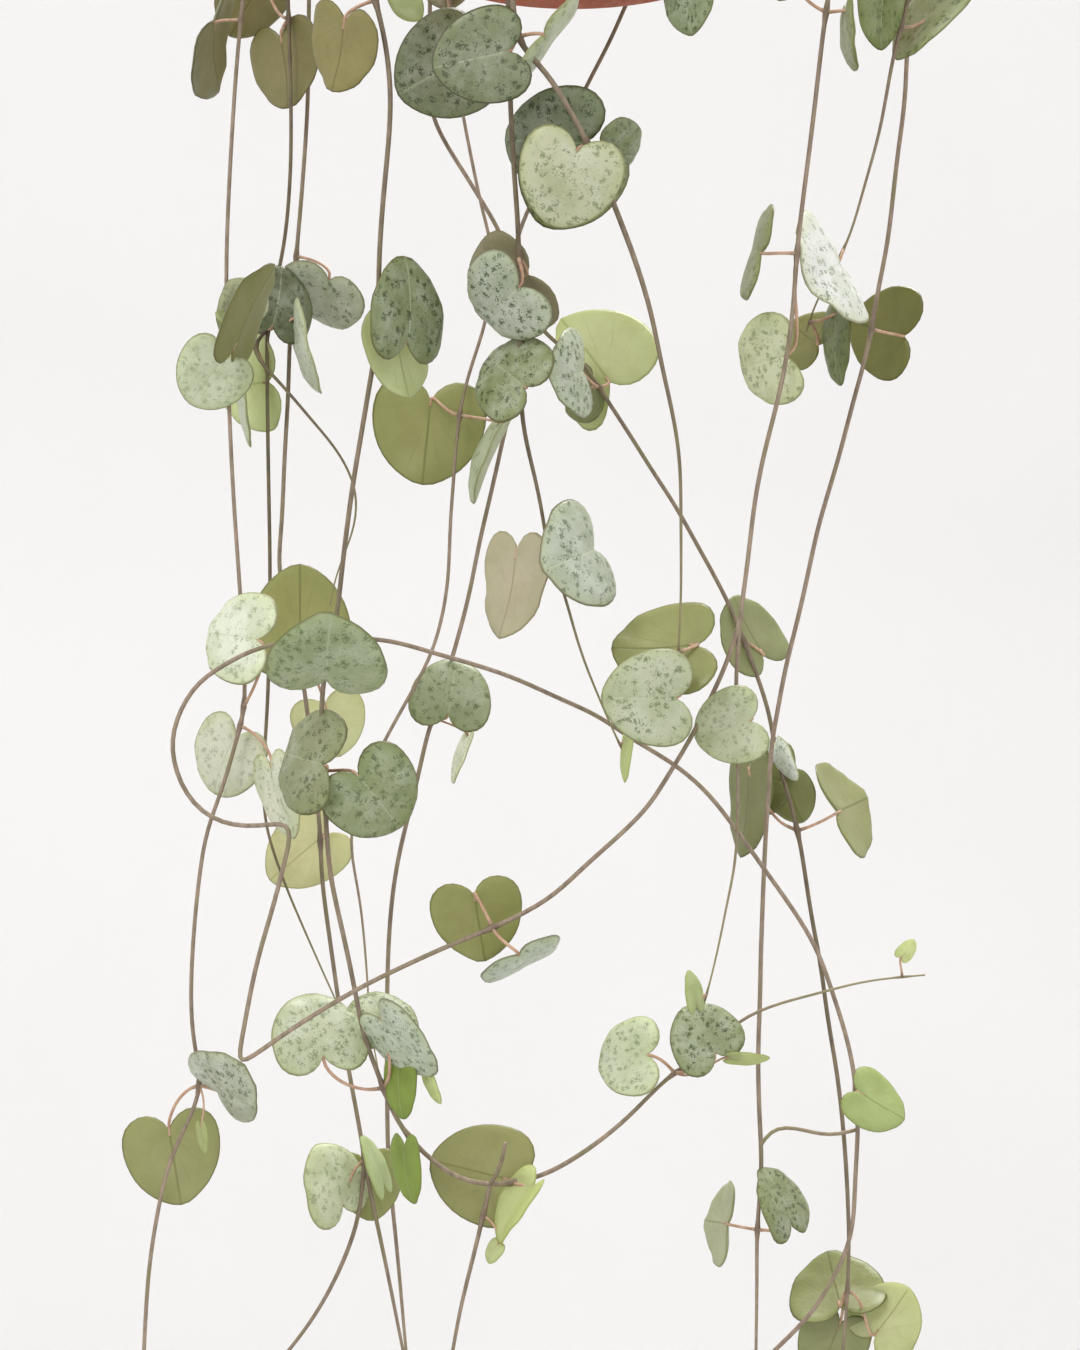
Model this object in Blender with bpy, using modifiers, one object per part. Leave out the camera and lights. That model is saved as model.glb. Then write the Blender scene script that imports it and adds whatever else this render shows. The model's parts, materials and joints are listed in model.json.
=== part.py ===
"""A string of hearts in a hanging terracotta pot: wiry stems with pairs of heart-shaped leaves
that spill over the rim of a plain clay pot and trail below it, and a wire hanger with a hook.

The pot hangs by its hook. The origin is the top of the hook's bend, +Z is up, and the front of
the plant faces -Y. Sizes are millimetres, and MM turns them into Blender's metres."""

import math
import random

import bmesh
import bpy
import numpy as np
from mathutils import Matrix, Vector

MM = 0.001
UP = np.array((0.0, 0.0, 1.0))

# The clay pot
RIM_Z = -190.0
POT_HEIGHT = 105.0
BASE_Z = RIM_Z - POT_HEIGHT
RIM_RADIUS = 61.0
WALL_TOP_RADIUS = 56.0
BASE_RADIUS = 31.0
COLLAR_HEIGHT = 24.0
COLLAR_DRAFT = 0.6
WALL = 5.0
WALL_SLOPE = (WALL_TOP_RADIUS - BASE_RADIUS) / (POT_HEIGHT - COLLAR_HEIGHT)
FLOOR_RADIUS = BASE_RADIUS + WALL_SLOPE * WALL - WALL
EDGE_ROUNDING = 1.5
DRAIN_RADIUS = 4.5
TURNED_STEPS = 40

# The soil and the stems' holes in it
SOIL_GAP = 0.3
SOIL_Z = RIM_Z - 13.0
SOIL_CROWN = 2.0
ROOT_DEPTH = 9.0
SOIL_BEND = 7
HOLE_RADIUS = 1.4

# The wire hanger
HOOK_RADIUS = 12.6
HOOK_WIRE = 1.6
HOOK_ARC = range(-35, 181, 18)
HOOK_SHANK = ((10.5, 0, -19), (3.5, 0, -28), (0, 0, -38))
WIRE = 1.0
WIRE_SIDES = 8
WIRE_HOLE = 1.4
HOLE_SIDES = 12
WIRE_HOLE_DROP = 8.0
WIRE_AZIMUTHS = (90, 210, 330)
COLLAR_TOP = -52.0
COLLAR_LENGTH = 9.0
COLLAR_RADIUS = 6.0
COLLAR_TAPER = 0.55
WIRE_TOP_RADIUS = 3.2

# The front drawing of the plant: its sheet, and the place that it is seen from
TOP_LINE = BASE_Z - 7.0
AXIS_ACROSS = 115.0
VIEW_DISTANCE = 450.0
EYE = (-7.0, -VIEW_DISTANCE, TOP_LINE - 135.0)
BOTTOM_Z = TOP_LINE - 262.0

# A leaf blade, in blade widths from the notch: across and along the right half of its outline
HALF_OUTLINE = [(0, 0), (0.05, -0.08), (0.17, -0.165), (0.33, -0.165), (0.46, -0.06), (0.505, 0.1),
                (0.49, 0.28), (0.43, 0.45), (0.32, 0.6), (0.19, 0.7), (0.09, 0.75), (0, 0.765)]
TIP_AHEAD_OF_NOTCH = HALF_OUTLINE[-1][1]
BLADE_CENTRE = 0.33
FOLD = 0.16
DROOP = 0.32
DROOP_CENTRE = 0.25
BLADE_THICKNESS = 0.9
HALF_OUTLINE_STEPS = 4
SMALL_LEAF = 6.0

# Stems and leaf stalks
STEM_RADIUS = 0.75
STEM_SIDES = 3
STEM_TOLERANCE = 1.5
PATH_STEP = 2.0
PETIOLE_RADIUS = 0.42
PETIOLE_SIDES = 3
PETIOLE_STEPS = 6
SHORT_STALK = 6.0
ROOTED = 0.06
SUNK = 1.4
EASING = 6

# Growth out of the front drawing's sight
SEED = 27
HANG_GAP = 4.6
CREST = 10.0
CREST_LEAF = 15.0
HIDDEN_LEAVES = (14.0, 18.0)
END_LEAF = 9.0
TAIL_LEAVES = (14.0, 5.0)
CROWN_STEMS = 7
CROWN_ROOTS = (10.0, 40.0)
CROWN_LENGTH = (34.0, 62.0)
FRONT_EXTRA = 22.0
RIM_REACH = 5.0
TAIL_LENGTH = (34.0, 88.0)
TAIL_SPACING = 30.0
CROWN_SPACING = 54.0
GROWTH_TRIES = 40
PAIR_SIZES = (0.85, 1.1)
STALK_OUT = (0.1, 1.0)
STALK_RISE = (-0.3, 0.5)
STALK_LENGTH = (0.25, 0.5)
BLADE_HANG = (0.3, 1.2)
BLADE_LIE = (-0.3, 0.3)
BLADE_OUT = (-0.2, 0.5)
BLADE_TILT = 0.45
NODE_REACH = 1.2
TEST_CENTRE = 0.3
TEST_REACH = 0.6
BLADE_CLEARANCE = 1.5
STEM_CLEARANCE = 1.6
POT_CLEARANCE = 1.6
WIRE_ROOM = 3.0

def leaf(notch, tip, width, turn=0, ahead=3, lean=-1, fold=FOLD):
    """A leaf as seen from the front, in sheet millimetres: notch and tip, blade width, turn about
    the midrib (0 shows the upper side, 180 the underside), how far the notch stands in front of
    its stem, whether the tip leans to the viewer (1) or away (-1), and how far it is folded."""
    return dict(notch=notch, tip=tip, width=width, turn=turn, ahead=ahead, lean=lean,
                fold=fold)


def strand(name, root, route, nodes, branches=(), shift=0):
    """A leafy stem: root is the distance of its foot from the pot's axis, each point of route is
    (across, down) or (across, down, ahead) on the sheet, and shift is how many degrees farther
    round it crosses the rim."""
    return dict(name=name, root=root, route=route, nodes=nodes, branches=branches, shift=shift)


STRANDS = [
    strand(
        "stem_left_outer", 34,
        [(48.6, 0, 4), (47.6, 10), (46.7, 22), (45.8, 38), (45.3, 52), (45.4, 68), (45.8, 80),
         (46.2, 90), (47, 104), (48, 118), (49, 136.6), (49, 141.6), (47, 149), (44.4, 158),
         (41.4, 166), (39.8, 176), (38.8, 186), (38.2, 197), (38.4, 206), (39.6, 213), (40.6, 217),
         (38, 223.6), (34.4, 231), (32, 240), (30, 252), (29.2, 262), (28.8, 270, 10)],
        [((48.2, 3), [leaf((42.8, 4.8), (42.6, 18.2), 24, 109, -3)]),
         ((45.4, 66), [leaf((49, 64), (46.5, 56), 13, 30, -5, 1),
                       leaf((46.6, 69.6), (54, 52.4), 20, 248, 6),
                       leaf((45.9, 64.6), (43.2, 62.2), 3.2, 40, 1)]),
         ((45.4, 69), [leaf((44.6, 71.8), (37.8, 81), 15.2, 0, 4)]),
         ((48.8, 140.4), [leaf((51.6, 128), (40.8, 126.6), 19, 10, 6),
                          leaf((47.4, 147.4), (42.4, 159), 17, 30, -4)]),
         ((47.8, 145.6), [leaf((54.4, 153.6), (58.4, 168), 12, 50, 3)]),
         ((40.6, 217), [leaf((43.6, 218.2), (48.4, 213.6), 18, 0, 3, 1),
                        leaf((33.8, 225.8), (36.2, 240.8), 19.2, 180, -3),
                        leaf((40.2, 225.4), (41, 231), 3, 40, 1)])],
    ),
    strand(
        "stem_left_middle", 28,
        [(57.6, 0, -30), (58.2, 22), (58, 36), (56.8, 49), (54.4, 60), (53.4, 66), (53.4, 70),
         (53.6, 90), (54, 116, -34), (53.6, 138), (52.8, 152), (52.6, 159.4), (53.2, 165), (54.4, 169.6),
         (57.2, 177.4), (60, 184), (64.4, 194), (67.4, 200.6), (70, 206.4, -14)],
        [((57.8, 3), [leaf((52, -3), (45.6, 7), 16, 150, -4),
                      leaf((56.3, 7.6), (58.4, 21.8), 18, 220, -4)]),
         ((53.4, 66), [leaf((54.4, 65), (56.6, 53), 16, 20, 3),
                       leaf((59.4, 64), (63.4, 79), 17, 80, 3)])],
        [dict(route=[(53.4, 66, None), (50.4, 68), (50.8, 71), (53.6, 74), (57.8, 78.6), (62, 83.6),
                     (67.4, 90), (70.4, 95.6), (71.4, 100), (71, 105), (69.2, 110), (67, 115.4),
                     (66, 121, -4)],
              nodes=[((50.6, 69.6), [leaf((53.6, 76.4), (43.6, 77.6), 19.6, 180, -5),
                                     leaf((48, 72), (49.6, 89.6), 11, 82, -1)])])],
    ),
    strand(
        "stem_left_back", 22,
        [(61.8, 0, -40), (61.6, 19), (61, 30), (60, 43), (59.4, 49.6), (58.6, 60), (58, 67, -39),
         (57.6, 80, -37), (57, 90), (56.4, 104), (55.8, 114), (58, 124), (60, 132, -24), (62.4, 150),
         (64, 166), (64.4, 176), (66, 188), (67.4, 198), (69.4, 212), (72, 226), (73.6, 236),
         (77, 252), (80.6, 270, -20)],
        [((59.2, 52), [leaf((65.8, 55.8), (61.8, 64), 18, 0, 5, fold=0.4)]),
         ((59.8, 131), [leaf((60, 131), (60, 112.8), 20.6, 180, 5),
                        leaf((65, 141), (68, 151), 15, 180, -4)]),
         ((64.1, 168), [leaf((65, 166.8), (54, 176), 15.4, 180, -4)]),
         ((73, 232), [leaf((68.4, 241), (63.6, 228.8), 17, 40, 4),
                      leaf((73.4, 232.6), (74.6, 244), 13.5, 180, -4),
                      leaf((76.6, 237), (72.6, 227), 8, 60, 2)])],
        [dict(route=[(73, 232, None), (71.8, 243), (70, 249), (66, 258), (61, 266), (57, 271, -16)],
              nodes=[])],
    ),
    strand(
        "stem_front_left", 30,
        [(75, 0, 54), (76.2, 4), (77.2, 9), (77.9, 15), (78.2, 21), (77.7, 29), (76.7, 39),
         (75.8, 52), (75.6, 66), (74.4, 74), (72.4, 86), (70.4, 98), (68.6, 112), (67.4, 123),
         (65.6, 132), (64.4, 138), (64.4, 152), (65.2, 164), (66, 175), (68, 184), (70.4, 195),
         (73, 208), (76.6, 217, 26), (78, 222), (82, 228), (86.4, 232), (91, 235.6), (98, 237.4),
         (103, 236.6), (109, 235), (116, 231), (124, 225), (130, 219), (135, 214), (138, 213),
         (143, 209), (147.6, 204), (156, 200.6), (164, 198.6), (172, 196.4), (180, 195.4),
         (185, 195, 20)],
        [((75.4, 1), [leaf((69, 4.2), (67.4, 18.4), 20, 228, -3),
                      leaf((80, -2), (84, 4), 8, 30, 1)]),
         ((75.6, 63), [leaf((81.2, 68.4), (81.4, 51), 19, 40, 5),
                       leaf((79, 65), (81, 80), 17, 140, -3)]),
         ((67, 126), [leaf((65.2, 136), (66, 123.4), 24, 0, 6, 1)]),
         ((64.6, 154), [leaf((65, 153), (56, 150.4), 21.6, 0, 5),
                        leaf((71.6, 155), (80.4, 166), 20, 0, 4)]),
         ((76.6, 217), [leaf((64.6, 211.4), (61.6, 198.2), 20, 20, 5),
                        leaf((77, 207), (74, 198), 15, 20, -4),
                        leaf((76.4, 204), (86.8, 215.4), 14.5, 50, 5),
                        leaf((80, 213.6), (80.4, 224), 8.6, 40, 2),
                        leaf((85.6, 215.4), (88, 221), 4.5, 60, 2)]),
         ((82, 228), [leaf((81, 229.4), (82.4, 241), 9, 50, 2)]),
         ((102, 236.8), [leaf((102, 236), (86, 232), 20, 180, -4),
                         leaf((106.8, 237.4), (99.4, 248.4), 13, 62, 3, fold=0.45)]),
         ((135.2, 214), [leaf((129.4, 211), (119.2, 212.4), 16, 15, 3),
                         leaf((143, 210.6), (136.6, 201.4), 15, 10, 3),
                         leaf((146.4, 211.6), (154, 211.8), 5, 60, 2)]),
         ((180.4, 195.4), [leaf((180.4, 191.2), (183, 188), 4, 30, 1)])],
        [dict(route=[(98, 237.4, None), (100.4, 233), (101, 228.6, 30)], nodes=[]),
         dict(route=[(98, 237.4, None), (96.2, 245), (94, 254), (92, 262), (90.4, 271, 26)],
              nodes=[((96.4, 244), [leaf((99.6, 249), (97.4, 252.6), 4.5, 40, 2)])])],
    ),
    strand(
        "stem_back_left", 26,
        [(90, 0, -52), (91, 12), (92.6, 23), (96, 40), (98.4, 50), (98, 58), (97, 65), (94, 74),
         (91.8, 83.4), (90.4, 100), (90, 106), (89.4, 118), (86.6, 130), (82, 139), (77.2, 147.6),
         (72.4, 158), (70, 168), (72, 180), (73.2, 192), (74, 204), (75.6, 214), (76.8, 219, -6)],
        [((90.4, 5), [leaf((93.8, 10.8), (79.6, 19), 21, 0, 6),
                      leaf((89, -8), (89.4, 2.2), 12, 180, -3)]),
         ((91.8, 83.4), [leaf((86.2, 79.9), (84.5, 97.1), 22.6, 180, -3),
                         leaf((101, 86), (94.2, 100.6), 13, 80, 3, fold=0.5)])],
        shift=-7,
    ),
    strand(
        "stem_back_middle", 18,
        [(86, 0, -58), (86, 12), (86.6, 23.6), (95, 38), (100, 46.4), (101.6, 51.6), (102.4, 60),
         (103, 70), (102.4, 80), (101, 86), (98.6, 97), (96, 108), (93.6, 120), (90.6, 131),
         (88, 140), (85.8, 145.6), (83, 158), (80, 170), (78.4, 180), (77.6, 192), (77.4, 208),
         (77.6, 230), (78.4, 240), (79.6, 252), (81.2, 270, -36)],
        [((86.6, 143.4), [leaf((89.6, 143), (91.4, 131.4), 16.4, 0, 4),
                          leaf((93.4, 147.8), (90.2, 156.6), 7, 72, 3)])],
        shift=7,
    ),
    strand(
        "stem_front_middle", 36,
        [(102.6, 0, 64), (102.8, 5), (102.2, 8.4), (106.6, 11.4), (110.4, 16), (114, 22),
         (116.6, 26.8), (118, 29.4), (121, 36), (122.8, 41), (125.6, 48), (129, 58), (131, 66),
         (132.4, 73.4), (134.4, 82), (136, 92.2), (136.2, 106), (136.2, 120), (135.8, 128),
         (135.6, 132.4, 46)],
        [((102.5, 7), [leaf((101.8, 10.2), (86.4, 13.6), 18.8, 0, 3),
                       leaf((108.8, 7), (110.6, 8.4), 21, 0, 1)]),
         ((117.6, 28.8), [leaf((117, 28.6), (100.6, 28), 22, 0, -4),
                          leaf((116.4, 30), (108.8, 45.2), 22, 0, -7),
                          leaf((115.4, 30.2), (110.6, 45.4), 21, 0, 5),
                          leaf((120.6, 29.6), (127.6, 31.4), 14.5, 20, -2)]),
         ((135.7, 130), [leaf((139.4, 129), (122.4, 130.6), 22.5, 216, -3),
                         leaf((135.2, 139.6), (120.2, 139.4), 19.5, 0, 5)])],
    ),
    strand(
        "stem_front_inner", 24,
        [(101.6, 0, 60), (102, 9), (102, 19), (102.8, 34), (103.6, 45), (103.8, 54), (104, 68),
         (104.4, 84), (106.4, 93), (108.2, 101), (109.8, 111), (112.4, 117), (116, 130), (120, 140),
         (123, 147), (124.8, 150.6, 36)],
        [((103.7, 52), [leaf((105.4, 55), (95.8, 61.8), 22, 180, -3),
                        leaf((103.8, 57.4), (96, 64.4), 20, 0, 5)]),
         ((104.2, 76), [leaf((105, 77.4), (97, 71), 18.5, 0, 4)]),
         ((109.8, 111), [leaf((118.6, 110), (109.4, 113.8), 22.4, 0, 4, 1),
                         leaf((103.4, 110.4), (101, 128), 23, 237, -2)]),
         ((124, 149), [leaf((125.6, 147.6), (124.8, 156.6), 4.4, 60, 1)])],
        shift=9,
    ),
    strand(
        "stem_front_right", 32,
        [(140.6, -16, 61), (139.8, -9), (139.2, -3.6, 60)],
        [((140.4, -13), [leaf((135.6, -14), (129.4, -4), 15, 20, 3),
                         leaf((145, -15), (150, -6), 14, 30, 2)]),
         ((139.3, -4.6), [leaf((138.2, -5.4), (138, 7), 14.5, 42, 3),
                          leaf((141.6, -8), (146.4, -14), 8, 30, -2)])],
    ),
    strand(
        "stem_back_right", 30,
        [(125.6, 0, -44), (121.6, 9), (117.6, 16.6), (111.2, 30), (105.4, 42.4), (103.4, 47.6),
         (102.6, 51.6), (105, 60), (109, 67), (115, 71), (118, 74.4), (120, 77.8), (126.4, 87.6),
         (131, 95), (135, 101), (140, 110), (144.4, 118), (147.6, 125), (151, 134), (154, 143),
         (154.8, 149), (156.4, 155), (158, 160), (159.6, 166.4), (160.6, 172), (162.4, 184),
         (164, 192), (165.6, 204), (167.6, 216), (169, 230), (169.8, 247), (169.4, 260),
         (168.6, 270, -8)],
        [((120, 77.8), [leaf((116.4, 74.4), (110.6, 75.4), 18, 0, 3, 1),
                        leaf((118.4, 77.4), (113.6, 82.4), 12, 215, -3),
                        leaf((121.8, 76.4), (112.8, 64), 24, 162, -3, fold=0.5)]),
         ((148.6, 128), [leaf((152.6, 131), (145.8, 119.6), 17, 225, -3)]),
         ((154.8, 149), [leaf((155.4, 149.2), (159.2, 156.4), 8, 60, 3),
                         leaf((157, 156.6), (160.8, 164.4), 10.5, 200, -3),
                         leaf((154.6, 151), (154, 163), 10, 205, -5)]),
         ((159.6, 166.4), [leaf((150, 154), (149, 171.6), 17, 240, -3),
                           leaf((167.6, 162.4), (172.6, 160.1), 20.8, 180, -2)]),
         ((169.5, 258), [leaf((168, 261.4), (165.6, 250.9), 19.6, 180, -3),
                         leaf((168, 264.6), (163, 277), 14, 180, -5),
                         leaf((175, 267), (182.2, 257.6), 15, 165, -2)])],
    ),
    strand(
        "stem_right_long", 34,
        [(165.6, 0, 38), (164.8, 5), (164, 12), (162.4, 26), (160.6, 40), (159.4, 50.4),
         (158.8, 60), (157.6, 70), (155.6, 80), (153, 90), (151, 100), (149.6, 112), (148, 124),
         (147.4, 132), (147.2, 140), (147.6, 154), (147.2, 171.6), (145.6, 179.6), (144, 188),
         (142.4, 195), (140.8, 200.8, 30)],
        [((165.4, 2.8), [leaf((159.6, -3.5), (157, -17), 15, 20, 2, 1),
                         leaf((169.5, 2.7), (170.6, 14.2), 14.8, 80, 2)]),
         ((159.4, 50.6), [leaf((152.2, 50.6), (150.4, 50.1), 19.5, 0, 1),
                          leaf((157, 71.2), (147.4, 73.6), 18.6, 0, -4)]),
         ((147.3, 139.6), [leaf((150, 144.2), (138.8, 147.6), 15.6, 0, 4)]),
         ((141.2, 199), [leaf((139.2, 201), (137.8, 194), 5.4, 48, 2)])],
        [dict(route=[(148, 124, None), (145.6, 132), (142.4, 139), (138, 148), (133, 156),
                     (130, 161), (124, 167), (116, 174), (111, 179), (104, 183), (98.6, 185.6),
                     (90, 189), (80, 193.6), (73, 197), (66, 201), (58, 206), (49, 212.4, 40),
                     (47, 214), (48, 210), (51, 194), (55, 180), (58, 168), (58.8, 163.4),
                     (54, 165.2), (49, 165.6), (42, 164), (37, 159), (34.4, 152), (34.4, 146),
                     (37, 140), (39.6, 136), (45, 133), (50, 130), (56.6, 128.4), (66, 127.6),
                     (77.8, 128), (86, 130.4), (96, 133.2), (104, 136), (112, 139.8), (120, 143.2),
                     (125, 147), (132, 151), (136, 153.6), (142, 159), (148, 167), (153, 174),
                     (158, 181), (163, 189), (166, 197), (170, 210), (171.4, 220), (171.6, 226),
                     (171, 236), (170.4, 247), (167, 255), (162, 263), (155, 270, 12)],
              nodes=[((98.6, 185.6), [leaf((94.8, 178.8), (97, 191.8), 18.4, 180, -4),
                                      leaf((103.8, 190.9), (105.2, 193.6), 17.6, 0, 3)]),
                     ((171.2, 219), [leaf((171.6, 218.4), (180.6, 224.2), 13, 150, 2)])]),
         dict(route=[(171, 226, None), (166, 227.4), (161, 226), (157, 225), (153.6, 225.6),
                     (152.2, 229, 18)], nodes=[])],
    ),
    strand(
        "stem_right_short", 30,
        [(181.6, 0, 14), (178.6, 11.6), (176, 26), (173.2, 36), (171.4, 42.6), (169, 50),
         (167.6, 51.6), (165, 57), (162.4, 62), (161.2, 66.4, 10)],
        [((179.8, 6), [leaf((177, -3), (176.2, 10), 10.2, 20, 3, fold=0.4),
                       leaf((190, -2), (179, 11.6), 14, 50, -3)]),
         ((168.4, 50.8), [leaf((167.6, 53), (162.4, 56), 25, 0, 4, 1)]),
         ((161.4, 65), [leaf((167.6, 63), (167.6, 77.2), 11, 60, 2),
                        leaf((163.6, 69), (158.4, 65), 13, 180, -3)])],
    ),
    strand(
        "stem_right_outer", 36,
        [(182.4, 0, -12), (181.4, 10), (181, 20), (179.4, 32), (177.6, 48), (175.6, 58),
         (174.4, 65.6), (173, 72), (171, 79), (167.6, 92), (164, 104), (162.4, 111), (160, 122),
         (157, 134), (155.4, 143), (154.4, 148), (153.6, 160), (153.2, 166), (152.8, 174),
         (152.2, 190), (152, 200), (151.6, 212), (152, 226), (152.4, 233), (151.4, 246),
         (151.4, 254), (151.2, 270, 2)],
        [((174.4, 65.6), [leaf((180.8, 67.2), (170.4, 64.4), 19, 180, -3)]),
         ((151.4, 245.6), [leaf((158, 244.8), (152.8, 233.2), 17, 58, 3),
                           leaf((145.4, 244.8), (141.8, 244.2), 17, 180, -2)])],
    ),
]

def unit(v):
    """The direction of v."""
    return np.asarray(v, float) / np.linalg.norm(v)


def seen(across, down, ahead):
    """The place of a sheet point that stands ahead of the pot's axis, on the sight line."""
    nearer = (VIEW_DISTANCE - ahead) / VIEW_DISTANCE
    x = EYE[0] + (across - AXIS_ACROSS - EYE[0]) * nearer
    z = EYE[2] + (TOP_LINE - down - EYE[2]) * nearer
    return np.array((x, -ahead, z))


def smooth(points, step):
    """Points about a step apart on a smooth curve through the given ones."""
    points = [np.asarray(p, float) for p in points]
    ends = [2 * points[0] - points[1]] + points + [2 * points[-1] - points[-2]]
    curve = []
    for p0, p1, p2, p3 in zip(ends, ends[1:], ends[2:], ends[3:]):
        count = max(1, round(float(np.linalg.norm(p2 - p1)) / step))
        for t in np.arange(count) / count:
            curve.append(0.5 * (2 * p1 + (p2 - p0) * t + (2 * p0 - 5 * p1 + 4 * p2 - p3) * t**2
                                + (3 * p1 - p0 - 3 * p2 + p3) * t**3))
    return curve + [points[-1]]


def eased(points):
    """Points along a curve with its small kinks evened out."""
    points = np.array(points)
    for _ in range(EASING):
        points[1:-1] = (points[:-2] + 2 * points[1:-1] + points[2:]) / 4
    return list(points)


def route_points(route, start_ahead=0.0):
    """A sheet route as places, with the distance ahead shared out between the points that give it."""
    flat = np.array([p[:2] for p in route], float)
    run = np.concatenate(([0], np.cumsum(np.linalg.norm(np.diff(flat, axis=0), axis=1))))
    given = [(r, start_ahead if p[2] is None else p[2]) for r, p in zip(run, route) if len(p) == 3]
    aheads = np.interp(run, [r for r, _ in given], [a for _, a in given])
    return [seen(x, y, a) for (x, y), a in zip(flat, aheads)]


def sheet_place(place):
    """Where a place shows on the sheet, and how far ahead of the axis it stands."""
    nearer = (VIEW_DISTANCE + place[1]) / VIEW_DISTANCE
    across = EYE[0] + (place[0] - EYE[0]) / nearer + AXIS_ACROSS
    down = TOP_LINE - EYE[2] - (place[2] - EYE[2]) / nearer
    return np.array((across, down, -place[1]))


def nearest(path, across, down):
    """The point of a path that shows nearest to a sheet point."""
    shown = np.array([sheet_place(p)[:2] for p in path])
    return int(np.argmin(np.linalg.norm(shown - (across, down), axis=1)))


def blade(notch, heading, normal, width, stretch=1.0, fold=FOLD):
    """A leaf blade by its notch, the direction of its tip and the way its upper side looks."""
    heading = unit(heading)
    normal = unit(normal - np.dot(normal, heading) * heading)
    side = np.cross(heading, normal)
    return dict(notch=notch, heading=heading, normal=normal, side=side, width=width,
                stretch=stretch, fold=fold)


def drawn_blade(spec, stem_ahead):
    """The blade of a leaf given as it is seen from the front."""
    ahead = stem_ahead + spec["ahead"]
    nearer = (VIEW_DISTANCE - ahead) / VIEW_DISTANCE
    notch = seen(*spec["notch"], ahead)
    width = spec["width"] * nearer
    shown = float(np.linalg.norm(np.subtract(spec["tip"], spec["notch"]))) * nearer
    length = TIP_AHEAD_OF_NOTCH * width
    leaning = spec["lean"] * math.sqrt(max(length**2 - shown**2, 0.0))
    tip = seen(*spec["tip"], ahead + leaning)
    heading = unit(tip - notch)
    facing = unit(np.subtract(EYE, notch))
    facing = unit(facing - np.dot(facing, heading) * heading)
    turn = math.radians(spec["turn"])
    normal = facing * math.cos(turn) + np.cross(heading, facing) * math.sin(turn)
    stretch = float(np.linalg.norm(tip - notch)) / length
    return blade(notch, heading, normal, width, stretch, spec["fold"])


def blade_height(a, b, fold):
    """How far a blade stands above its own plane: a groove along the midrib, drooping edges."""
    return fold * abs(a) - DROOP * (a**2 + (b - DROOP_CENTRE)**2 - DROOP_CENTRE**2)


def blade_place(leaf_blade, a, b, above=0.0):
    """The place of a blade's point: a across and b along, in blade widths, above in millimetres."""
    w = leaf_blade["width"]
    return (leaf_blade["notch"] + leaf_blade["side"] * a * w
            + leaf_blade["heading"] * b * w * leaf_blade["stretch"]
            + leaf_blade["normal"] * (blade_height(a, b, leaf_blade["fold"]) * w + above))


def half_outline(count):
    """The right half of a blade's outline from notch to tip, as count + 1 points."""
    fine = smooth([np.array(p) for p in HALF_OUTLINE], 0.02)
    run = np.concatenate(([0], np.cumsum(np.linalg.norm(np.diff(fine, axis=0), axis=1))))
    wanted = np.linspace(0, run[-1], count + 1)
    return [(float(np.interp(r, run, [p[0] for p in fine])),
             float(np.interp(r, run, [p[1] for p in fine]))) for r in wanted]


def outline(count):
    """A blade's outline, anticlockwise from the notch round the tip, as 2 x count points."""
    right = half_outline(count)
    return right + [(-a, b) for a, b in reversed(right[1:-1])]


def petiole_points(start, leaf_blade, tangent):
    """The leaf stalk's curve, from the stem's centre into the blade at its notch."""
    end = leaf_blade["notch"]
    span = end - start
    length = float(np.linalg.norm(span))
    out = unit(span - 0.8 * np.dot(span, tangent) * tangent)
    first = start + out * 0.45 * length
    last = end - leaf_blade["heading"] * 0.22 * length - leaf_blade["normal"] * 0.12 * length
    curve = []
    for t in np.linspace(0, 1, PETIOLE_STEPS + 1):
        curve.append(start * (1 - t)**3 + 3 * first * t * (1 - t)**2 + 3 * last * t**2 * (1 - t)
                     + end * t**3)
    return curve + [end + leaf_blade["heading"] * SUNK - leaf_blade["normal"] * 0.1]


def wire_line(k):
    """The straight stretch of a hanger wire, from beside the rim up to the collar."""
    angle = math.radians(WIRE_AZIMUTHS[k])
    low = (RIM_RADIUS - WALL - 4, RIM_Z - WIRE_HOLE_DROP + 5)
    return [(r * math.cos(angle), r * math.sin(angle), z)
            for r, z in (low, (WIRE_TOP_RADIUS, COLLAR_TOP - COLLAR_LENGTH))]


def wall_radius(z):
    """The pot's outer radius at a height."""
    if z > RIM_Z - COLLAR_HEIGHT:
        return RIM_RADIUS
    return BASE_RADIUS + WALL_SLOPE * (z - BASE_Z)


def over_the_rim(root, first, shift=0.0):
    """A stem's way out of the soil, over the rim and down to its first point below."""
    azimuth = math.atan2(first[1], first[0])
    reach = math.hypot(first[0], first[1])
    hang = RIM_RADIUS + HANG_GAP
    low = RIM_Z - 0.75 * COLLAR_HEIGHT
    profile = [(root, SOIL_Z - ROOT_DEPTH, 1), (root, SOIL_Z - 2, 1), (root, SOIL_Z + 4, 1),
               (root + 3, RIM_Z + CREST / 2, 1), ((root + RIM_RADIUS) / 2 + 2, RIM_Z + CREST, 1),
               (RIM_RADIUS - 1, RIM_Z + 0.8 * CREST, 1), (hang - 0.6, RIM_Z - 1, 1),
               (hang, low, 0.8), ((hang + reach) / 2, (low + first[2]) / 2, 0.4)]
    path = []
    for r, z, turned in profile:
        angle = azimuth + shift * turned
        path.append(np.array((r * math.cos(angle), r * math.sin(angle), z)))
    return path + [first]


def samples(leaf_blade):
    """Points spread over a blade, for the tests of what it would touch."""
    ring = outline(8)
    spread = [(a * f, TEST_CENTRE + (b - TEST_CENTRE) * f) for f in (1.0, 0.6, 0.25) for a, b in ring]
    return np.array([blade_place(leaf_blade, a, b) for a, b in spread])


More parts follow.
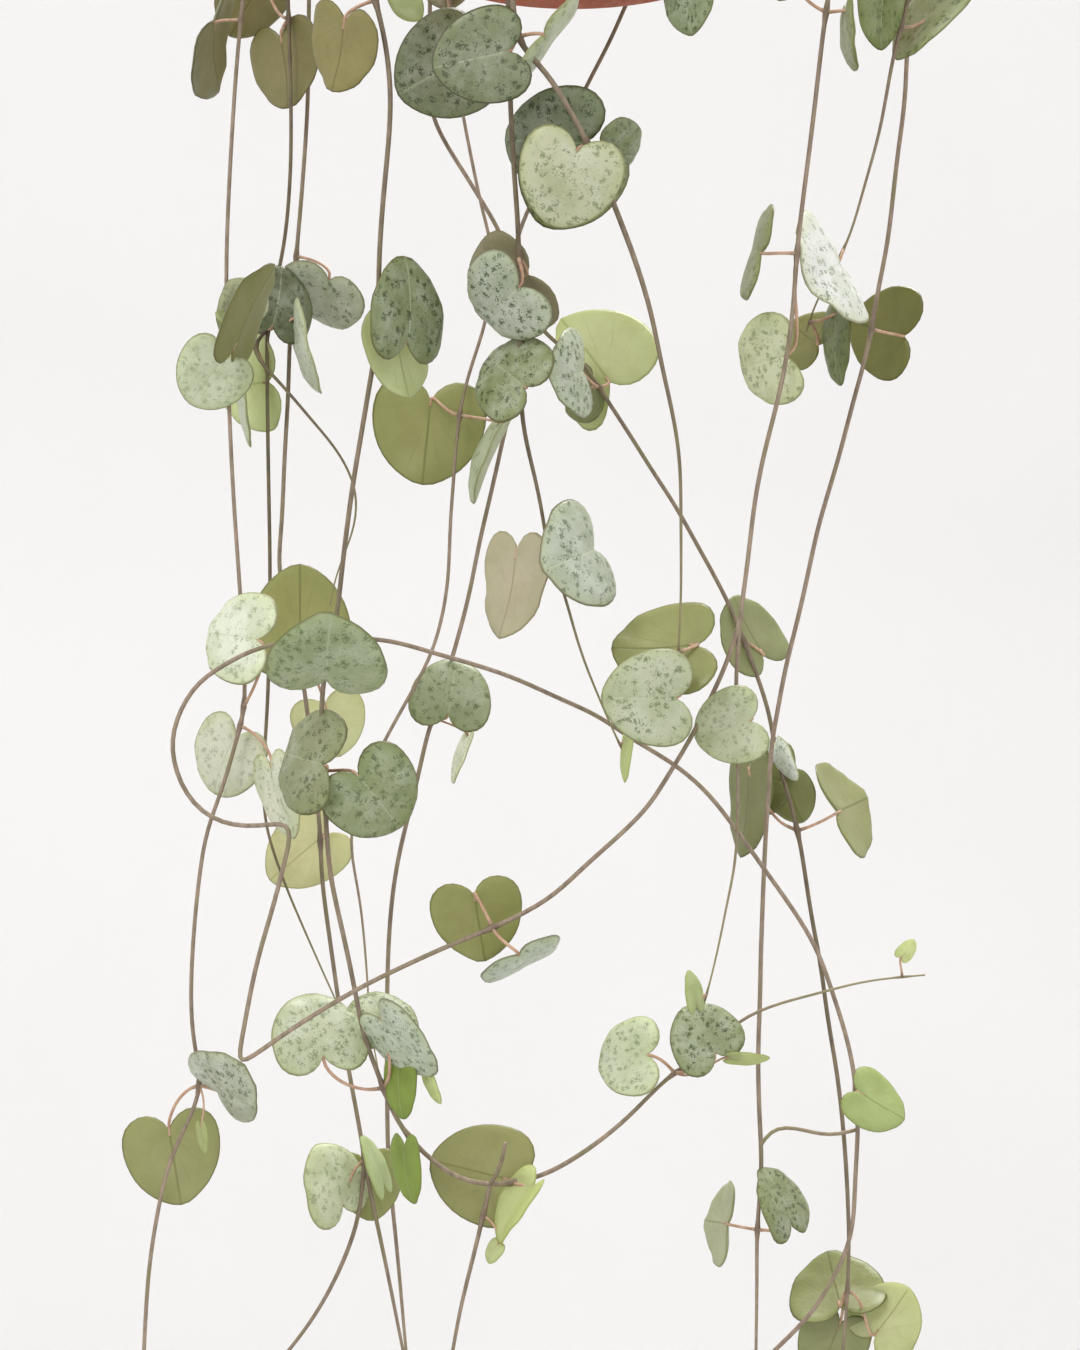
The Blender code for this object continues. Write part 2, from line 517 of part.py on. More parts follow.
def pierced(leaf_blade, points, clearance):
    """Whether any of the points lies in a blade or within a clearance of its faces."""
    width = leaf_blade["width"]
    offset = points - leaf_blade["notch"]
    a = offset @ leaf_blade["side"] / width
    b = offset @ leaf_blade["heading"] / (width * leaf_blade["stretch"])
    above = offset @ leaf_blade["normal"] - blade_height(np.abs(a), b, leaf_blade["fold"]) * width
    inside = (a / TEST_REACH)**2 + ((b - TEST_CENTRE) / TEST_REACH)**2 < 1
    return bool(np.any(inside & (np.abs(above) < clearance)))


def hits_pot(points):
    """Whether any of the points lies in or too near the pot, its soil or a hanger wire."""
    r = np.hypot(points[:, 0], points[:, 1])
    z = points[:, 2]
    wall = np.array([wall_radius(h) for h in z]) + POT_CLEARANCE
    beside = (z < RIM_Z + POT_CLEARANCE) & (z > BASE_Z - POT_CLEARANCE) & (r < wall)
    inner = (r < RIM_RADIUS - WALL - POT_CLEARANCE) & (z > SOIL_Z + POT_CLEARANCE)
    if np.any(beside & ~inner):
        return True
    for k in range(3):
        low, high = (np.array(p) for p in wire_line(k))
        along = np.clip((points - low) @ (high - low) / np.dot(high - low, high - low), 0, 1)
        if np.any(np.linalg.norm(points - low - along[:, None] * (high - low), axis=1) < WIRE_ROOM):
            return True
    return False


def fits(leaf_blade, stalk, taken, stems):
    """Whether a leaf keeps clear of the blades and stems that are there already, and of the pot."""
    mine = samples(leaf_blade)
    centre = mine.mean(axis=0)
    if hits_pot(mine):
        return False
    for other, points in taken:
        near = (leaf_blade["width"] + other["width"]) * 0.8
        if np.linalg.norm(centre - points.mean(axis=0)) < near and (
                pierced(other, mine, BLADE_CLEARANCE) or pierced(leaf_blade, points, BLADE_CLEARANCE)
                or pierced(other, stalk, STEM_CLEARANCE)):
            return False
    return not pierced(leaf_blade, stems, STEM_CLEARANCE)


def grown_pair(draw, place, tangent, outward, size, taken, stems):
    """The pair of leaves at a node of a stem, one to each side, turned until they fit."""
    across = unit(np.cross(tangent, outward))
    pair = []
    others = stems[np.linalg.norm(stems - place, axis=1) > NODE_REACH]
    for side in (1, -1):
        for _ in range(GROWTH_TRIES):
            way = unit(side * across + draw.uniform(*STALK_OUT) * outward
                       + draw.uniform(*STALK_RISE) * UP)
            notch = place + way * draw.uniform(*STALK_LENGTH) * size
            hang = draw.uniform(*(BLADE_HANG if outward[2] < 0.5 else BLADE_LIE))
            heading = unit(way + outward * draw.uniform(*BLADE_OUT) - UP * hang)
            normal = outward + np.array([draw.uniform(-BLADE_TILT, BLADE_TILT) for _ in range(3)])
            new = blade(notch, heading, normal, size * draw.uniform(*PAIR_SIZES))
            stalk = np.array(petiole_points(place, new, tangent)[1:-2])
            if fits(new, stalk, taken, others):
                taken.append((new, samples(new)))
                others = np.concatenate([others, stalk])
                pair.append((new, stalk))
                break
    return pair


def thinned(path, keep):
    """The fewest points of a path that stay within the stem tolerance of it, with those to keep."""
    marks = sorted(set(keep) | {0, len(path) - 1})

    def between(i, j):
        if j - i < 2:
            return []
        line = path[j] - path[i]
        span = max(float(np.linalg.norm(line)), 1e-6)
        gaps = [float(np.linalg.norm(np.cross(path[k] - path[i], line))) / span
                for k in range(i + 1, j)]
        worst = int(np.argmax(gaps))
        if gaps[worst] < STEM_TOLERANCE:
            return []
        k = i + 1 + worst
        return between(i, k) + [k] + between(k, j)

    chosen = [marks[0]]
    for i, j in zip(marks, marks[1:]):
        chosen += between(i, j) + [j]
    return [path[k] for k in chosen]


def metres(place):
    """A place in millimetres as a Blender vector in metres."""
    return Vector(float(c) * MM for c in place)


def material(name, colour, roughness, metallic=0.0):
    """A plain Principled material."""
    made = bpy.data.materials.new(name)
    made.use_nodes = True
    shader = made.node_tree.nodes["Principled BSDF"]
    shader.inputs["Base Color"].default_value = (*colour, 1)
    shader.inputs["Roughness"].default_value = roughness
    shader.inputs["Metallic"].default_value = metallic
    return made


def mesh_object(name, bm, collection, finish=None):
    """An object in a collection from a bmesh, with its faces turned outwards."""
    bmesh.ops.recalc_face_normals(bm, faces=bm.faces)
    if bm.calc_volume(signed=True) < 0:
        bmesh.ops.reverse_faces(bm, faces=bm.faces)
    mesh = bpy.data.meshes.new(name)
    bm.to_mesh(mesh)
    bm.free()
    made = bpy.data.objects.new(name, mesh)
    collection.objects.link(made)
    if finish:
        mesh.materials.append(finish)
    return made


def tube(points, radius, sides):
    """A bmesh of a closed tube along points: a capped ring, extruded from point to point."""
    bm = bmesh.new()
    points = [metres(p) for p in points]
    steps = [(b - a).normalized() for a, b in zip(points, points[1:])]
    tangents = [steps[0]] + [(a + b).normalized() for a, b in zip(steps, steps[1:])] + [steps[-1]]
    bmesh.ops.create_circle(bm, cap_ends=True, segments=sides, radius=radius * MM)
    turn = Vector((0, 0, 1)).rotation_difference(tangents[0]).to_matrix().to_4x4()
    bmesh.ops.transform(bm, matrix=Matrix.Translation(points[0]) @ turn, verts=bm.verts)
    cap = bm.faces[:][0]
    for k in range(1, len(points)):
        grown = bmesh.ops.extrude_face_region(bm, geom=[cap])["geom"]
        if k > 1:
            bmesh.ops.delete(bm, geom=[cap], context="FACES_ONLY")
        ring = [g for g in grown if isinstance(g, bmesh.types.BMVert)]
        cap = next(g for g in grown if isinstance(g, bmesh.types.BMFace))
        turn = tangents[k - 1].rotation_difference(tangents[k]).to_matrix()
        for vert in ring:
            vert.co = points[k] + turn @ (vert.co - points[k - 1])
    return bm


def blade_solid(leaf_blade):
    """A bmesh of a leaf blade: a flat cylinder drawn out to the outline and curved."""
    half = HALF_OUTLINE_STEPS if leaf_blade["width"] > SMALL_LEAF else HALF_OUTLINE_STEPS - 1
    ring = outline(half)
    bm = bmesh.new()
    bmesh.ops.create_cone(bm, cap_ends=True, cap_tris=True, segments=len(ring), radius1=1,
                          radius2=1, depth=1)
    for vert in bm.verts:
        above = math.copysign(BLADE_THICKNESS / 2, vert.co.z)
        if vert.co.xy.length < 0.5:
            place = (0, BLADE_CENTRE)
        else:
            angle = math.atan2(vert.co.y, vert.co.x)
            place = ring[round(angle / math.tau * len(ring)) % len(ring)]
        vert.co = metres(blade_place(leaf_blade, *place, above))
    return bm


def joined(name, parts, collection, finish):
    """One object from closed bmeshes that reach into each other, by one Boolean union."""
    body = mesh_object(name, parts[0], collection, finish)
    first = body.data
    pieces = bpy.data.collections.new(name + "_pieces")
    bpy.context.scene.collection.children.link(pieces)
    for k, bm in enumerate(parts[1:]):
        mesh_object(f"{name}_piece_{k}", bm, pieces, finish)
    for solver in ("MANIFOLD", "EXACT"):
        body.data = first
        union = body.modifiers.new("Union", "BOOLEAN")
        union.operation = "UNION"
        union.operand_type = "COLLECTION"
        union.collection = pieces
        union.solver = solver
        apply_modifiers(body)
        if is_one_body(body.data):
            break
    for piece in list(pieces.objects):
        bpy.data.objects.remove(piece)
    bpy.data.collections.remove(pieces)
    return body


def is_one_body(mesh):
    """Whether a mesh is one piece with every edge between exactly two faces."""
    bm = bmesh.new()
    bm.from_mesh(mesh)
    sound = all(len(edge.link_faces) == 2 for edge in bm.edges)
    reached = {bm.verts[:][0]}
    front = list(reached)
    while front:
        for edge in front.pop().link_edges:
            for vert in edge.verts:
                if vert not in reached:
                    reached.add(vert)
                    front.append(vert)
    whole = len(reached) == len(bm.verts)
    bm.free()
    return sound and whole


def apply_modifiers(body):
    """Replaces an object's mesh by what its modifiers make of it."""
    shape = body.evaluated_get(bpy.context.evaluated_depsgraph_get())
    mesh = bpy.data.meshes.new_from_object(shape)
    body.modifiers.clear()
    body.data = mesh


def turned(name, profile, collection, finish):
    """A turned solid about the Z axis: an outline in radius and height, run down the outer side."""
    bm = bmesh.new()
    verts = [bm.verts.new((r * MM, 0, z * MM)) for r, z in profile]
    for a, b in zip(verts, verts[1:]):
        bm.edges.new((a, b))
    if profile[0][0] > 0:
        bm.edges.new((verts[-1], verts[0]))
    mesh = bpy.data.meshes.new(name)
    bm.to_mesh(mesh)
    bm.free()
    made = bpy.data.objects.new(name, mesh)
    collection.objects.link(made)
    mesh.materials.append(finish)
    screw = made.modifiers.new("Screw", "SCREW")
    screw.steps = screw.render_steps = TURNED_STEPS
    screw.use_merge_vertices = True
    screw.merge_threshold = 0.00001
    return made


def cut(body, cutters):
    """Cuts the objects of a collection out of a body."""
    apply_modifiers(body)
    difference = body.modifiers.new("Cut", "BOOLEAN")
    difference.operation = "DIFFERENCE"
    difference.operand_type = "COLLECTION"
    difference.collection = cutters
    difference.solver = "EXACT"


def cutter_collection(name):
    """A collection for cutters, which are left out of the part."""
    made = bpy.data.collections.new(name)
    bpy.context.scene.collection.children.link(made)
    return made


def add_cutter(name, bm, collection):
    """A cutter in a collection."""
    made = mesh_object(name, bm, collection)
    made.hide_render = True
    made.display_type = "WIRE"
    return made


def add_pot(collection, clay):
    """The clay pot: a tapered wall under a thick collar, a drain hole, and three wire holes."""
    floor = BASE_Z + WALL
    inner_top = RIM_RADIUS - WALL
    collar_low = RIM_RADIUS - COLLAR_DRAFT
    profile = [
        (RIM_RADIUS - EDGE_ROUNDING, RIM_Z), (RIM_RADIUS, RIM_Z - EDGE_ROUNDING),
        (collar_low, RIM_Z - COLLAR_HEIGHT + EDGE_ROUNDING),
        (collar_low - EDGE_ROUNDING, RIM_Z - COLLAR_HEIGHT),
        (WALL_TOP_RADIUS, RIM_Z - COLLAR_HEIGHT),
        (BASE_RADIUS + WALL_SLOPE * EDGE_ROUNDING, BASE_Z + EDGE_ROUNDING),
        (BASE_RADIUS - EDGE_ROUNDING, BASE_Z), (DRAIN_RADIUS, BASE_Z), (DRAIN_RADIUS, floor),
        (FLOOR_RADIUS, floor), (inner_top, RIM_Z - EDGE_ROUNDING), (inner_top + EDGE_ROUNDING, RIM_Z)]
    pot = turned("pot", profile, collection, clay)
    cutters = cutter_collection("wire_hole_cutters")
    for k, azimuth in enumerate(WIRE_AZIMUTHS):
        angle = math.radians(azimuth)
        z = RIM_Z - WIRE_HOLE_DROP
        ends = [(r * math.cos(angle), r * math.sin(angle), z)
                for r in (inner_top - WALL, RIM_RADIUS + WALL)]
        add_cutter(f"wire_hole_{k}", tube(ends, WIRE_HOLE, HOLE_SIDES), cutters)
    cut(pot, cutters)
    return pot


def add_soil(collection, earth, roots):
    """The soil that fills the pot, with a plain hole for each stem."""
    slope = (RIM_RADIUS - WALL - FLOOR_RADIUS) / (POT_HEIGHT - WALL)
    floor = BASE_Z + WALL + SOIL_GAP
    low = FLOOR_RADIUS - SOIL_GAP
    top_radius = low + slope * (SOIL_Z - floor) - SOIL_GAP / 3
    profile = [(0, SOIL_Z + SOIL_CROWN), (top_radius * 0.55, SOIL_Z + SOIL_CROWN * 0.8),
               (top_radius * 0.92, SOIL_Z + SOIL_CROWN * 0.3), (top_radius, SOIL_Z), (low, floor),
               (0, floor)]
    soil = turned("soil", profile, collection, earth)
    cutters = cutter_collection("root_hole_cutters")
    for k, foot in enumerate(roots):
        ends = [foot + UP * d for d in (-HOLE_RADIUS / 2, 2 * ROOT_DEPTH)]
        add_cutter(f"root_hole_{k}", tube(ends, HOLE_RADIUS, HOLE_SIDES // 2), cutters)
    cut(soil, cutters)
    return soil


def add_hanger(collection, steel):
    """The hanger: a hook with a collar, and three wires from the collar to the pot's rim."""
    arc = [math.radians(a) for a in HOOK_ARC]
    bend = [(-HOOK_RADIUS * math.cos(a), 0, HOOK_WIRE - HOOK_RADIUS + HOOK_RADIUS * math.sin(a))
            for a in arc]
    shank = smooth([bend[-1], *HOOK_SHANK, (0, 0, COLLAR_TOP - COLLAR_LENGTH / 3)], 3.0)
    collar = bmesh.new()
    bmesh.ops.create_cone(collar, cap_ends=True, segments=TURNED_STEPS // 2,
                          radius1=COLLAR_RADIUS * MM, radius2=COLLAR_RADIUS * COLLAR_TAPER * MM,
                          depth=COLLAR_LENGTH * MM)
    place = Matrix.Translation((0, 0, (COLLAR_TOP - COLLAR_LENGTH / 2) * MM))
    bmesh.ops.transform(collar, matrix=place, verts=collar.verts)
    route = [np.array(p) for p in bend] + shank[1:]
    joined("hanger_hook", [tube(route, HOOK_WIRE, WIRE_SIDES), collar], collection, steel)
    for k, azimuth in enumerate(WIRE_AZIMUTHS):
        angle = math.radians(azimuth)
        z = RIM_Z - WIRE_HOLE_DROP
        inside = RIM_RADIUS - WALL - 2.6
        bends = [(WIRE_TOP_RADIUS, COLLAR_TOP - COLLAR_LENGTH - SOIL_GAP),
                 (inside - 2.2, z + 6), (inside - 0.9, z + 2), (inside + 1.0, z), (RIM_RADIUS + 2, z),
                 (RIM_RADIUS + 3.6, z + 1.2), (RIM_RADIUS + 4, z + 3.2), (RIM_RADIUS + 4, z + 8)]
        line = [(r * math.cos(angle), r * math.sin(angle), h) for r, h in bends]
        mesh_object(f"hanger_wire_{k + 1}", tube(line, WIRE, WIRE_SIDES), collection, steel)


def fork_point(runs, at, start):
    """The run of a stem that shows nearest to a sheet point, and the point of its path there. The
    first run is looked at from the point start on."""
    options = []
    for n, run in enumerate(runs):
        first = 0 if n else start
        k = nearest(run["path"][first:], *at) + first
        options.append((float(np.linalg.norm(sheet_place(run["path"][k])[:2] - at)), n, k))
    _, n, k = min(options)
    return runs[n], k


def plant():
    """Every leafy stem as its tubes and blades: the drawn ones, their tails, and the crown's."""
    stems = []
    for spec in STRANDS:
        drawn = eased(smooth(route_points(spec["route"]), PATH_STEP))
        shift = math.radians(spec["shift"])
        hidden = smooth(over_the_rim(spec["root"], drawn[0], shift), PATH_STEP)[:-1]
        path = hidden + drawn
        keep, leaves = [SOIL_BEND, len(hidden)], []
        runs = [dict(path=path, keep=keep)]
        todo = [(path, keep, spec["nodes"], len(hidden))]
        for branch in spec["branches"]:
            carrier, fork = fork_point(runs, branch["route"][0][:2], len(hidden))
            carrier["keep"].append(fork)
            side = smooth(route_points(branch["route"], -carrier["path"][fork][1]), PATH_STEP)
            side = eased([carrier["path"][fork]] + side[1:])
            run = dict(path=side, keep=[])
            runs.append(run)
            todo.append((side, run["keep"], branch["nodes"], 0))
        for line, marks, nodes, start in todo:
            for at, specs in nodes:
                k = nearest(line[start:], *at) + start
                marks.append(k)
                tangent = unit(line[min(k + 1, len(line) - 1)] - line[max(k - 1, 0)])
                for one in specs:
                    leaves.append((line[k], tangent, drawn_blade(one, -line[k][1])))
        stems.append(dict(name=spec["name"], runs=runs, leaves=leaves, hidden=len(hidden),
                          shift=shift))
    taken = [(b, samples(b)) for s in stems for _, _, b in s["leaves"]]
    draw = random.Random(SEED)
    for stem in stems:
        for run in stem["runs"]:
            if run["path"][-1][2] < BOTTOM_Z:
                run["tail"] = len(run["path"]) - 1
                run["path"] += tail(draw, run["path"])
    azimuths = crown_azimuths(stems)
    for k, azimuth in enumerate(azimuths):
        stems.append(crown_stem(draw, k, azimuth))
    lines = [np.array(r["path"]) for s in stems for r in s["runs"]]
    lines += [np.array(petiole_points(p, b, t)) for s in stems for p, t, b in s["leaves"]]
    for stem in stems:
        for run in stem["runs"]:
            grow_along(draw, stem, run, taken, lines)
    return stems


def tail(draw, path):
    """The stretch of a stem below the sheet's bottom edge, with its thin growing tip."""
    way = unit(path[-1] - path[-8])
    length = draw.uniform(*TAIL_LENGTH)
    drift = np.array((draw.uniform(-0.25, 0.25), draw.uniform(-0.25, 0.25), 0))
    points = [path[-1]]
    for f in (0.33, 0.66, 1.0):
        way = unit(way * (1 - f) - UP * f + drift * math.sin(3 * f))
        points.append(points[-1] + way * length / 3)
    return smooth(points, PATH_STEP)[1:]


def crown_azimuths(stems):
    """The middles of the widest gaps between the stems that hang from the rim and the wires."""
    angles = []
    for stem in stems:
        first = stem["runs"][0]["path"][stem["hidden"]]
        angles.append((math.atan2(first[1], first[0]) + stem["shift"]) % math.tau)
    angles = sorted(angles + [math.radians(a) for a in WIRE_AZIMUTHS])
    added = []
    for _ in range(CROWN_STEMS):
        ring = angles + [angles[0] + math.tau]
        gap, start = max((b - a, a) for a, b in zip(ring, ring[1:]))
        added.append(start + gap / 2)
        angles = sorted(angles + [(start + gap / 2) % math.tau])
    return added


def crown_stem(draw, k, azimuth):
    """A short leafy stem that hangs over the rim without reaching below the pot."""
    front = 0.5 - 0.5 * math.sin(azimuth)
    length = draw.uniform(*CROWN_LENGTH) + FRONT_EXTRA * front
    reach = RIM_RADIUS + RIM_REACH
    end = np.array((reach * math.cos(azimuth), reach * math.sin(azimuth), RIM_Z - length))
    root = draw.uniform(*CROWN_ROOTS)
    path = smooth(over_the_rim(root, end), PATH_STEP)
    return dict(name=f"crown_stem_{k + 1}", runs=[dict(path=path, keep=[SOIL_BEND])], leaves=[],
                hidden=len(path))


def grow_along(draw, stem, run, taken, lines):
    """Leaf pairs at even steps along a stem where the front drawing doesn't show it."""
    path = run["path"]
    spots = []
    if run is stem["runs"][0]:
        crest = int(np.argmax([p[2] for p in path]))
        end = stem["hidden"] - 1
        spots = [(crest + draw.randrange(-3, 4), CREST_LEAF)]
        k = crest + draw.randrange(9, 24)
        while k < end - 4:
            spots.append((k, draw.uniform(*HIDDEN_LEAVES)))
            k += round(CROWN_SPACING * draw.uniform(0.36, 0.6))
        if stem["name"].startswith("crown"):
            spots.append((len(path) - 1, END_LEAF))
    if "tail" in run:
        steps = len(path) - 1 - run["tail"]
        count = max(1, round(2 * steps / TAIL_SPACING))
        for k in range(1, count + 1):
            f = k / count
            spots.append((run["tail"] + round(f * steps),
                          TAIL_LEAVES[0] * (1 - f) + TAIL_LEAVES[1] * f))
    for k, size in spots:
        tangent = unit(path[min(k + 1, len(path) - 1)] - path[k - 1])
        outward = np.array((path[k][0], path[k][1], 0.0))
        if path[k][2] > RIM_Z + 4:
            outward = unit(outward) * 0.5 + UP * 1.2
        outward = unit(outward)
        for new, stalk in grown_pair(draw, path[k], tangent, outward, size, taken,
                                     np.concatenate(lines)):
            run["keep"].append(k)
            stem["leaves"].append((path[k], tangent, new))
            lines.append(stalk)


def rooted(points):
    """A side stem's or leaf stalk's points, begun a little inside what carries it."""
    return [points[0] - unit(points[1] - points[0]) * ROOTED] + list(points[1:])


def add_plant(collection, green, stems):
    """One object for each leafy stem: its tubes, leaf stalks and blades, joined."""
    for stem in stems:
        lines = [thinned(r["path"], r["keep"]) for r in stem["runs"]]
        lines = [lines[0]] + [rooted(line) for line in lines[1:]]
        parts = [tube(line, STEM_RADIUS, STEM_SIDES) for line in lines]
        for place, tangent, leaf_blade in stem["leaves"]:
            stalk = petiole_points(place, leaf_blade, tangent)
            if np.linalg.norm(leaf_blade["notch"] - place) > SHORT_STALK:
                stalk = [stalk[0], stalk[3], stalk[-1]]
            else:
                stalk = [stalk[0], stalk[-1]]
            parts.append(tube(rooted(stalk), PETIOLE_RADIUS, PETIOLE_SIDES))
            parts.append(blade_solid(leaf_blade))
        joined(stem["name"], parts, collection, green)


def main():
    """Builds the whole plant in its pot."""
    for old in list(bpy.data.objects):
        bpy.data.objects.remove(old)
    collection = bpy.data.collections.new("string_of_hearts")
    bpy.context.scene.collection.children.link(collection)
    clay = material("terracotta", (0.33, 0.085, 0.04), 0.8)
    earth = material("potting_soil", (0.03, 0.02, 0.014), 0.95)
    steel = material("galvanised_wire", (0.5, 0.5, 0.5), 0.35, 1.0)
    green = material("string_of_hearts_leaf", (0.2, 0.28, 0.15), 0.45)
    stems = plant()
    add_pot(collection, clay)
    add_soil(collection, earth, [s["runs"][0]["path"][0] for s in stems])
    add_hanger(collection, steel)
    add_plant(collection, green, stems)


main()
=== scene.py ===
"""The looks of a string of hearts in a hanging terracotta pot: marbled heart-shaped leaves on
wiry stems, a clay pot with potting mix, and its wire hanger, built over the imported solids."""

import json
import math
import random

import bmesh
import bpy
import numpy as np
from bpy.props import FloatProperty, FloatVectorProperty, IntProperty, PointerProperty
from bpy.types import Operator, Panel, PropertyGroup
from mathutils import Matrix, Vector, noise

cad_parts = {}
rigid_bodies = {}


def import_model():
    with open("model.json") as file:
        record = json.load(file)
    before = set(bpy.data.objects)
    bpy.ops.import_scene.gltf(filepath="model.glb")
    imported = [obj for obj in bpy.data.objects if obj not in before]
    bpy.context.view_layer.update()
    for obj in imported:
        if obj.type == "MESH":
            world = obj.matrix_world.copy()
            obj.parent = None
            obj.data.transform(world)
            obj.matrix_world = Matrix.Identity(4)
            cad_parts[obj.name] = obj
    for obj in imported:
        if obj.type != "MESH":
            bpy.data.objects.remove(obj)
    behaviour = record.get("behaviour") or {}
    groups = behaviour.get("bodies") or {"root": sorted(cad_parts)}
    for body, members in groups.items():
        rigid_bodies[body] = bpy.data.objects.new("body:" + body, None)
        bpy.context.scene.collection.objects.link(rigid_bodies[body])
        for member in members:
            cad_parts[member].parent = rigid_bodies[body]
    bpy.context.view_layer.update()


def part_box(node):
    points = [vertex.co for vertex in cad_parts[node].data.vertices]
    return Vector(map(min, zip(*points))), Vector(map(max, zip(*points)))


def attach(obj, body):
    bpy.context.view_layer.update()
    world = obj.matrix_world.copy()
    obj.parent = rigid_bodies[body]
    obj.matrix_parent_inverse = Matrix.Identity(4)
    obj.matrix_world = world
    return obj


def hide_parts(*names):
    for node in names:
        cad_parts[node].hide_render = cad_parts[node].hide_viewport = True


bl_info = {
    "name": "String of hearts",
    "version": (1, 0, 0),
    "blender": (4, 5, 0),
    "location": "View3D > Sidebar > String of hearts",
    "description": "Builds a trailing string of hearts in a hanging clay pot",
    "category": "Object",
}

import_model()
MM = 0.001
UP = np.array((0.0, 0.0, 1.0))

# The clay pot
RIM_Z = -190.0
POT_HEIGHT = 105.0
BASE_Z = RIM_Z - POT_HEIGHT
RIM_RADIUS = 61.0
WALL_TOP_RADIUS = 56.0
BASE_RADIUS = 31.0
COLLAR_HEIGHT = 24.0
WALL = 5.0
WALL_SLOPE = (WALL_TOP_RADIUS - BASE_RADIUS) / (POT_HEIGHT - COLLAR_HEIGHT)
FLOOR_RADIUS = BASE_RADIUS + WALL_SLOPE * WALL - WALL
DRAIN_RADIUS = 4.5

# The gap to a seat, and the soil with the depth of the stems' holes in it
SEAT_GAP = 0.3
SOIL_Z = RIM_Z - 13.0
SOIL_CROWN = 2.0
ROOT_DEPTH = 9.0

# The wire hanger
HOOK_RADIUS = 12.6
HOOK_WIRE = 1.6
WIRE = 1.0
WIRE_HOLE = 1.4
WIRE_HOLE_DROP = 8.0
WIRE_AZIMUTHS = (90, 210, 330)
COLLAR_TOP = -52.0
COLLAR_LENGTH = 9.0
COLLAR_FOOT = COLLAR_TOP - COLLAR_LENGTH
COLLAR_RADIUS = 6.0
WIRE_TOP_RADIUS = 3.2

# The front drawing of the plant: its sheet, and the place that it is seen from
TOP_LINE = BASE_Z - 7.0
AXIS_ACROSS = 115.0
VIEW_DISTANCE = 450.0
EYE = (-7.0, -VIEW_DISTANCE, TOP_LINE - 135.0)
BOTTOM_Z = TOP_LINE - 262.0

# A leaf blade, in blade widths from the notch: across and along the right half of its outline
HALF_OUTLINE = [(0, 0), (0.05, -0.08), (0.17, -0.165), (0.33, -0.165), (0.46, -0.06), (0.505, 0.1),
                (0.49, 0.28), (0.43, 0.45), (0.32, 0.6), (0.19, 0.7), (0.09, 0.75), (0, 0.765)]
TIP_AHEAD_OF_NOTCH = HALF_OUTLINE[-1][1]
BLADE_CENTRE = 0.33
FOLD = 0.16
DROOP = 0.32
DROOP_CENTRE = 0.25

# Stems and leaf stalks
PATH_STEP = 2.0
PETIOLE_STEPS = 6
SUNK = 1.4
EASING = 6

# Growth out of the front drawing's sight
SEED = 27
HANG_GAP = 4.6
CREST = 10.0
CREST_LEAF = 15.0
CREST_STEPS = (-3, 4)
HIDDEN_STEPS = (9, 24)
HIDDEN_SPACING = (0.36, 0.6)
HIDDEN_LEAVES = (14.0, 18.0)
END_LEAF = 9.0
TAIL_LEAVES = (14.0, 5.0)
CROWN_STEMS = 7
CROWN_ROOTS = (10.0, 40.0)
CROWN_LENGTH = (34.0, 62.0)
FRONT_EXTRA = 22.0
RIM_REACH = 5.0
TAIL_LENGTH = (34.0, 88.0)
TAIL_DRIFT = 0.25
TAIL_SPACING = 30.0
CROWN_SPACING = 54.0
GROWTH_TRIES = 40
PAIR_SIZES = (0.85, 1.1)
STALK_OUT = (0.1, 1.0)
STALK_RISE = (-0.3, 0.5)
STALK_LENGTH = (0.25, 0.5)
BLADE_HANG = (0.3, 1.2)
BLADE_LIE = (-0.3, 0.3)
BLADE_OUT = (-0.2, 0.5)
BLADE_TILT = 0.45
NODE_REACH = 1.2
TEST_CENTRE = 0.3
TEST_REACH = 0.6
BLADE_CLEARANCE = 1.5
STEM_CLEARANCE = 1.6
POT_CLEARANCE = 1.6
WIRE_ROOM = 3.0

# Finish of the soil: its lumps, and its crumbs with their sizes and how rough they are
SOIL_ROUND = (120, 72)
LUMP_SIZE = 5
LUMP_HEIGHT = 0.9
LUMP_FADE = 3
SOIL_TURN = 1.05
SOIL_FILL = 1.4
SOIL_FLOOR = 3
CRUMB_ROOM = 3.5
CRUMB_SIZES = (0.5, 1.3)
CRUMB_FLATNESS = 0.7
CRUMB_GRAIN = 900
CRUMB_ROUGHNESS = 0.0002

# Finish of the leaves: points round and rings across, their waves, and how far they differ
FINE_LEAF = (36, 10)
PLAIN_LEAF = (20, 6)
RIM_FULLNESS = 5
SEAM = 1e-4
WAVE = 0.012
FRILL = 0.008
CREASE_ROUNDING = 0.0012
THIN_SMALL = (0.35, 20)
GROWTH_SPREAD = (0.75, 1.15)
LEAF_LIGHTS = (0.9, 1.08)
LEAF_WARMTH = 4

# Finish of the stems, stalks and hanger
TIP_LENGTH = 75.0
TIP_SLIMMING = 0.64
YOUNG_LENGTH = 45.0
JOINT_LENGTH = 1.3
JOINT_SWELLING = 0.55
STEM_SHADES = (0.15, 0.85)
STEM_SPREAD = (0.88, 1.15)
STALK_STEP = 0.9
STALK_SMALL = (0.55, 30)
STALK_TAPER = (1.25, 0.35, 5)
STALK_CHANGE = 6
STALK_SIDES = 8
HOOK_SIDES = 20
WIRE_SIDES = 16
HOLE_SIDES = 24
COLLAR_SIDES = 48
SHARP_EDGE = math.radians(50)
WELD = 1e-7
OFF_AXIS = (0.3, 0.9, 0.2)

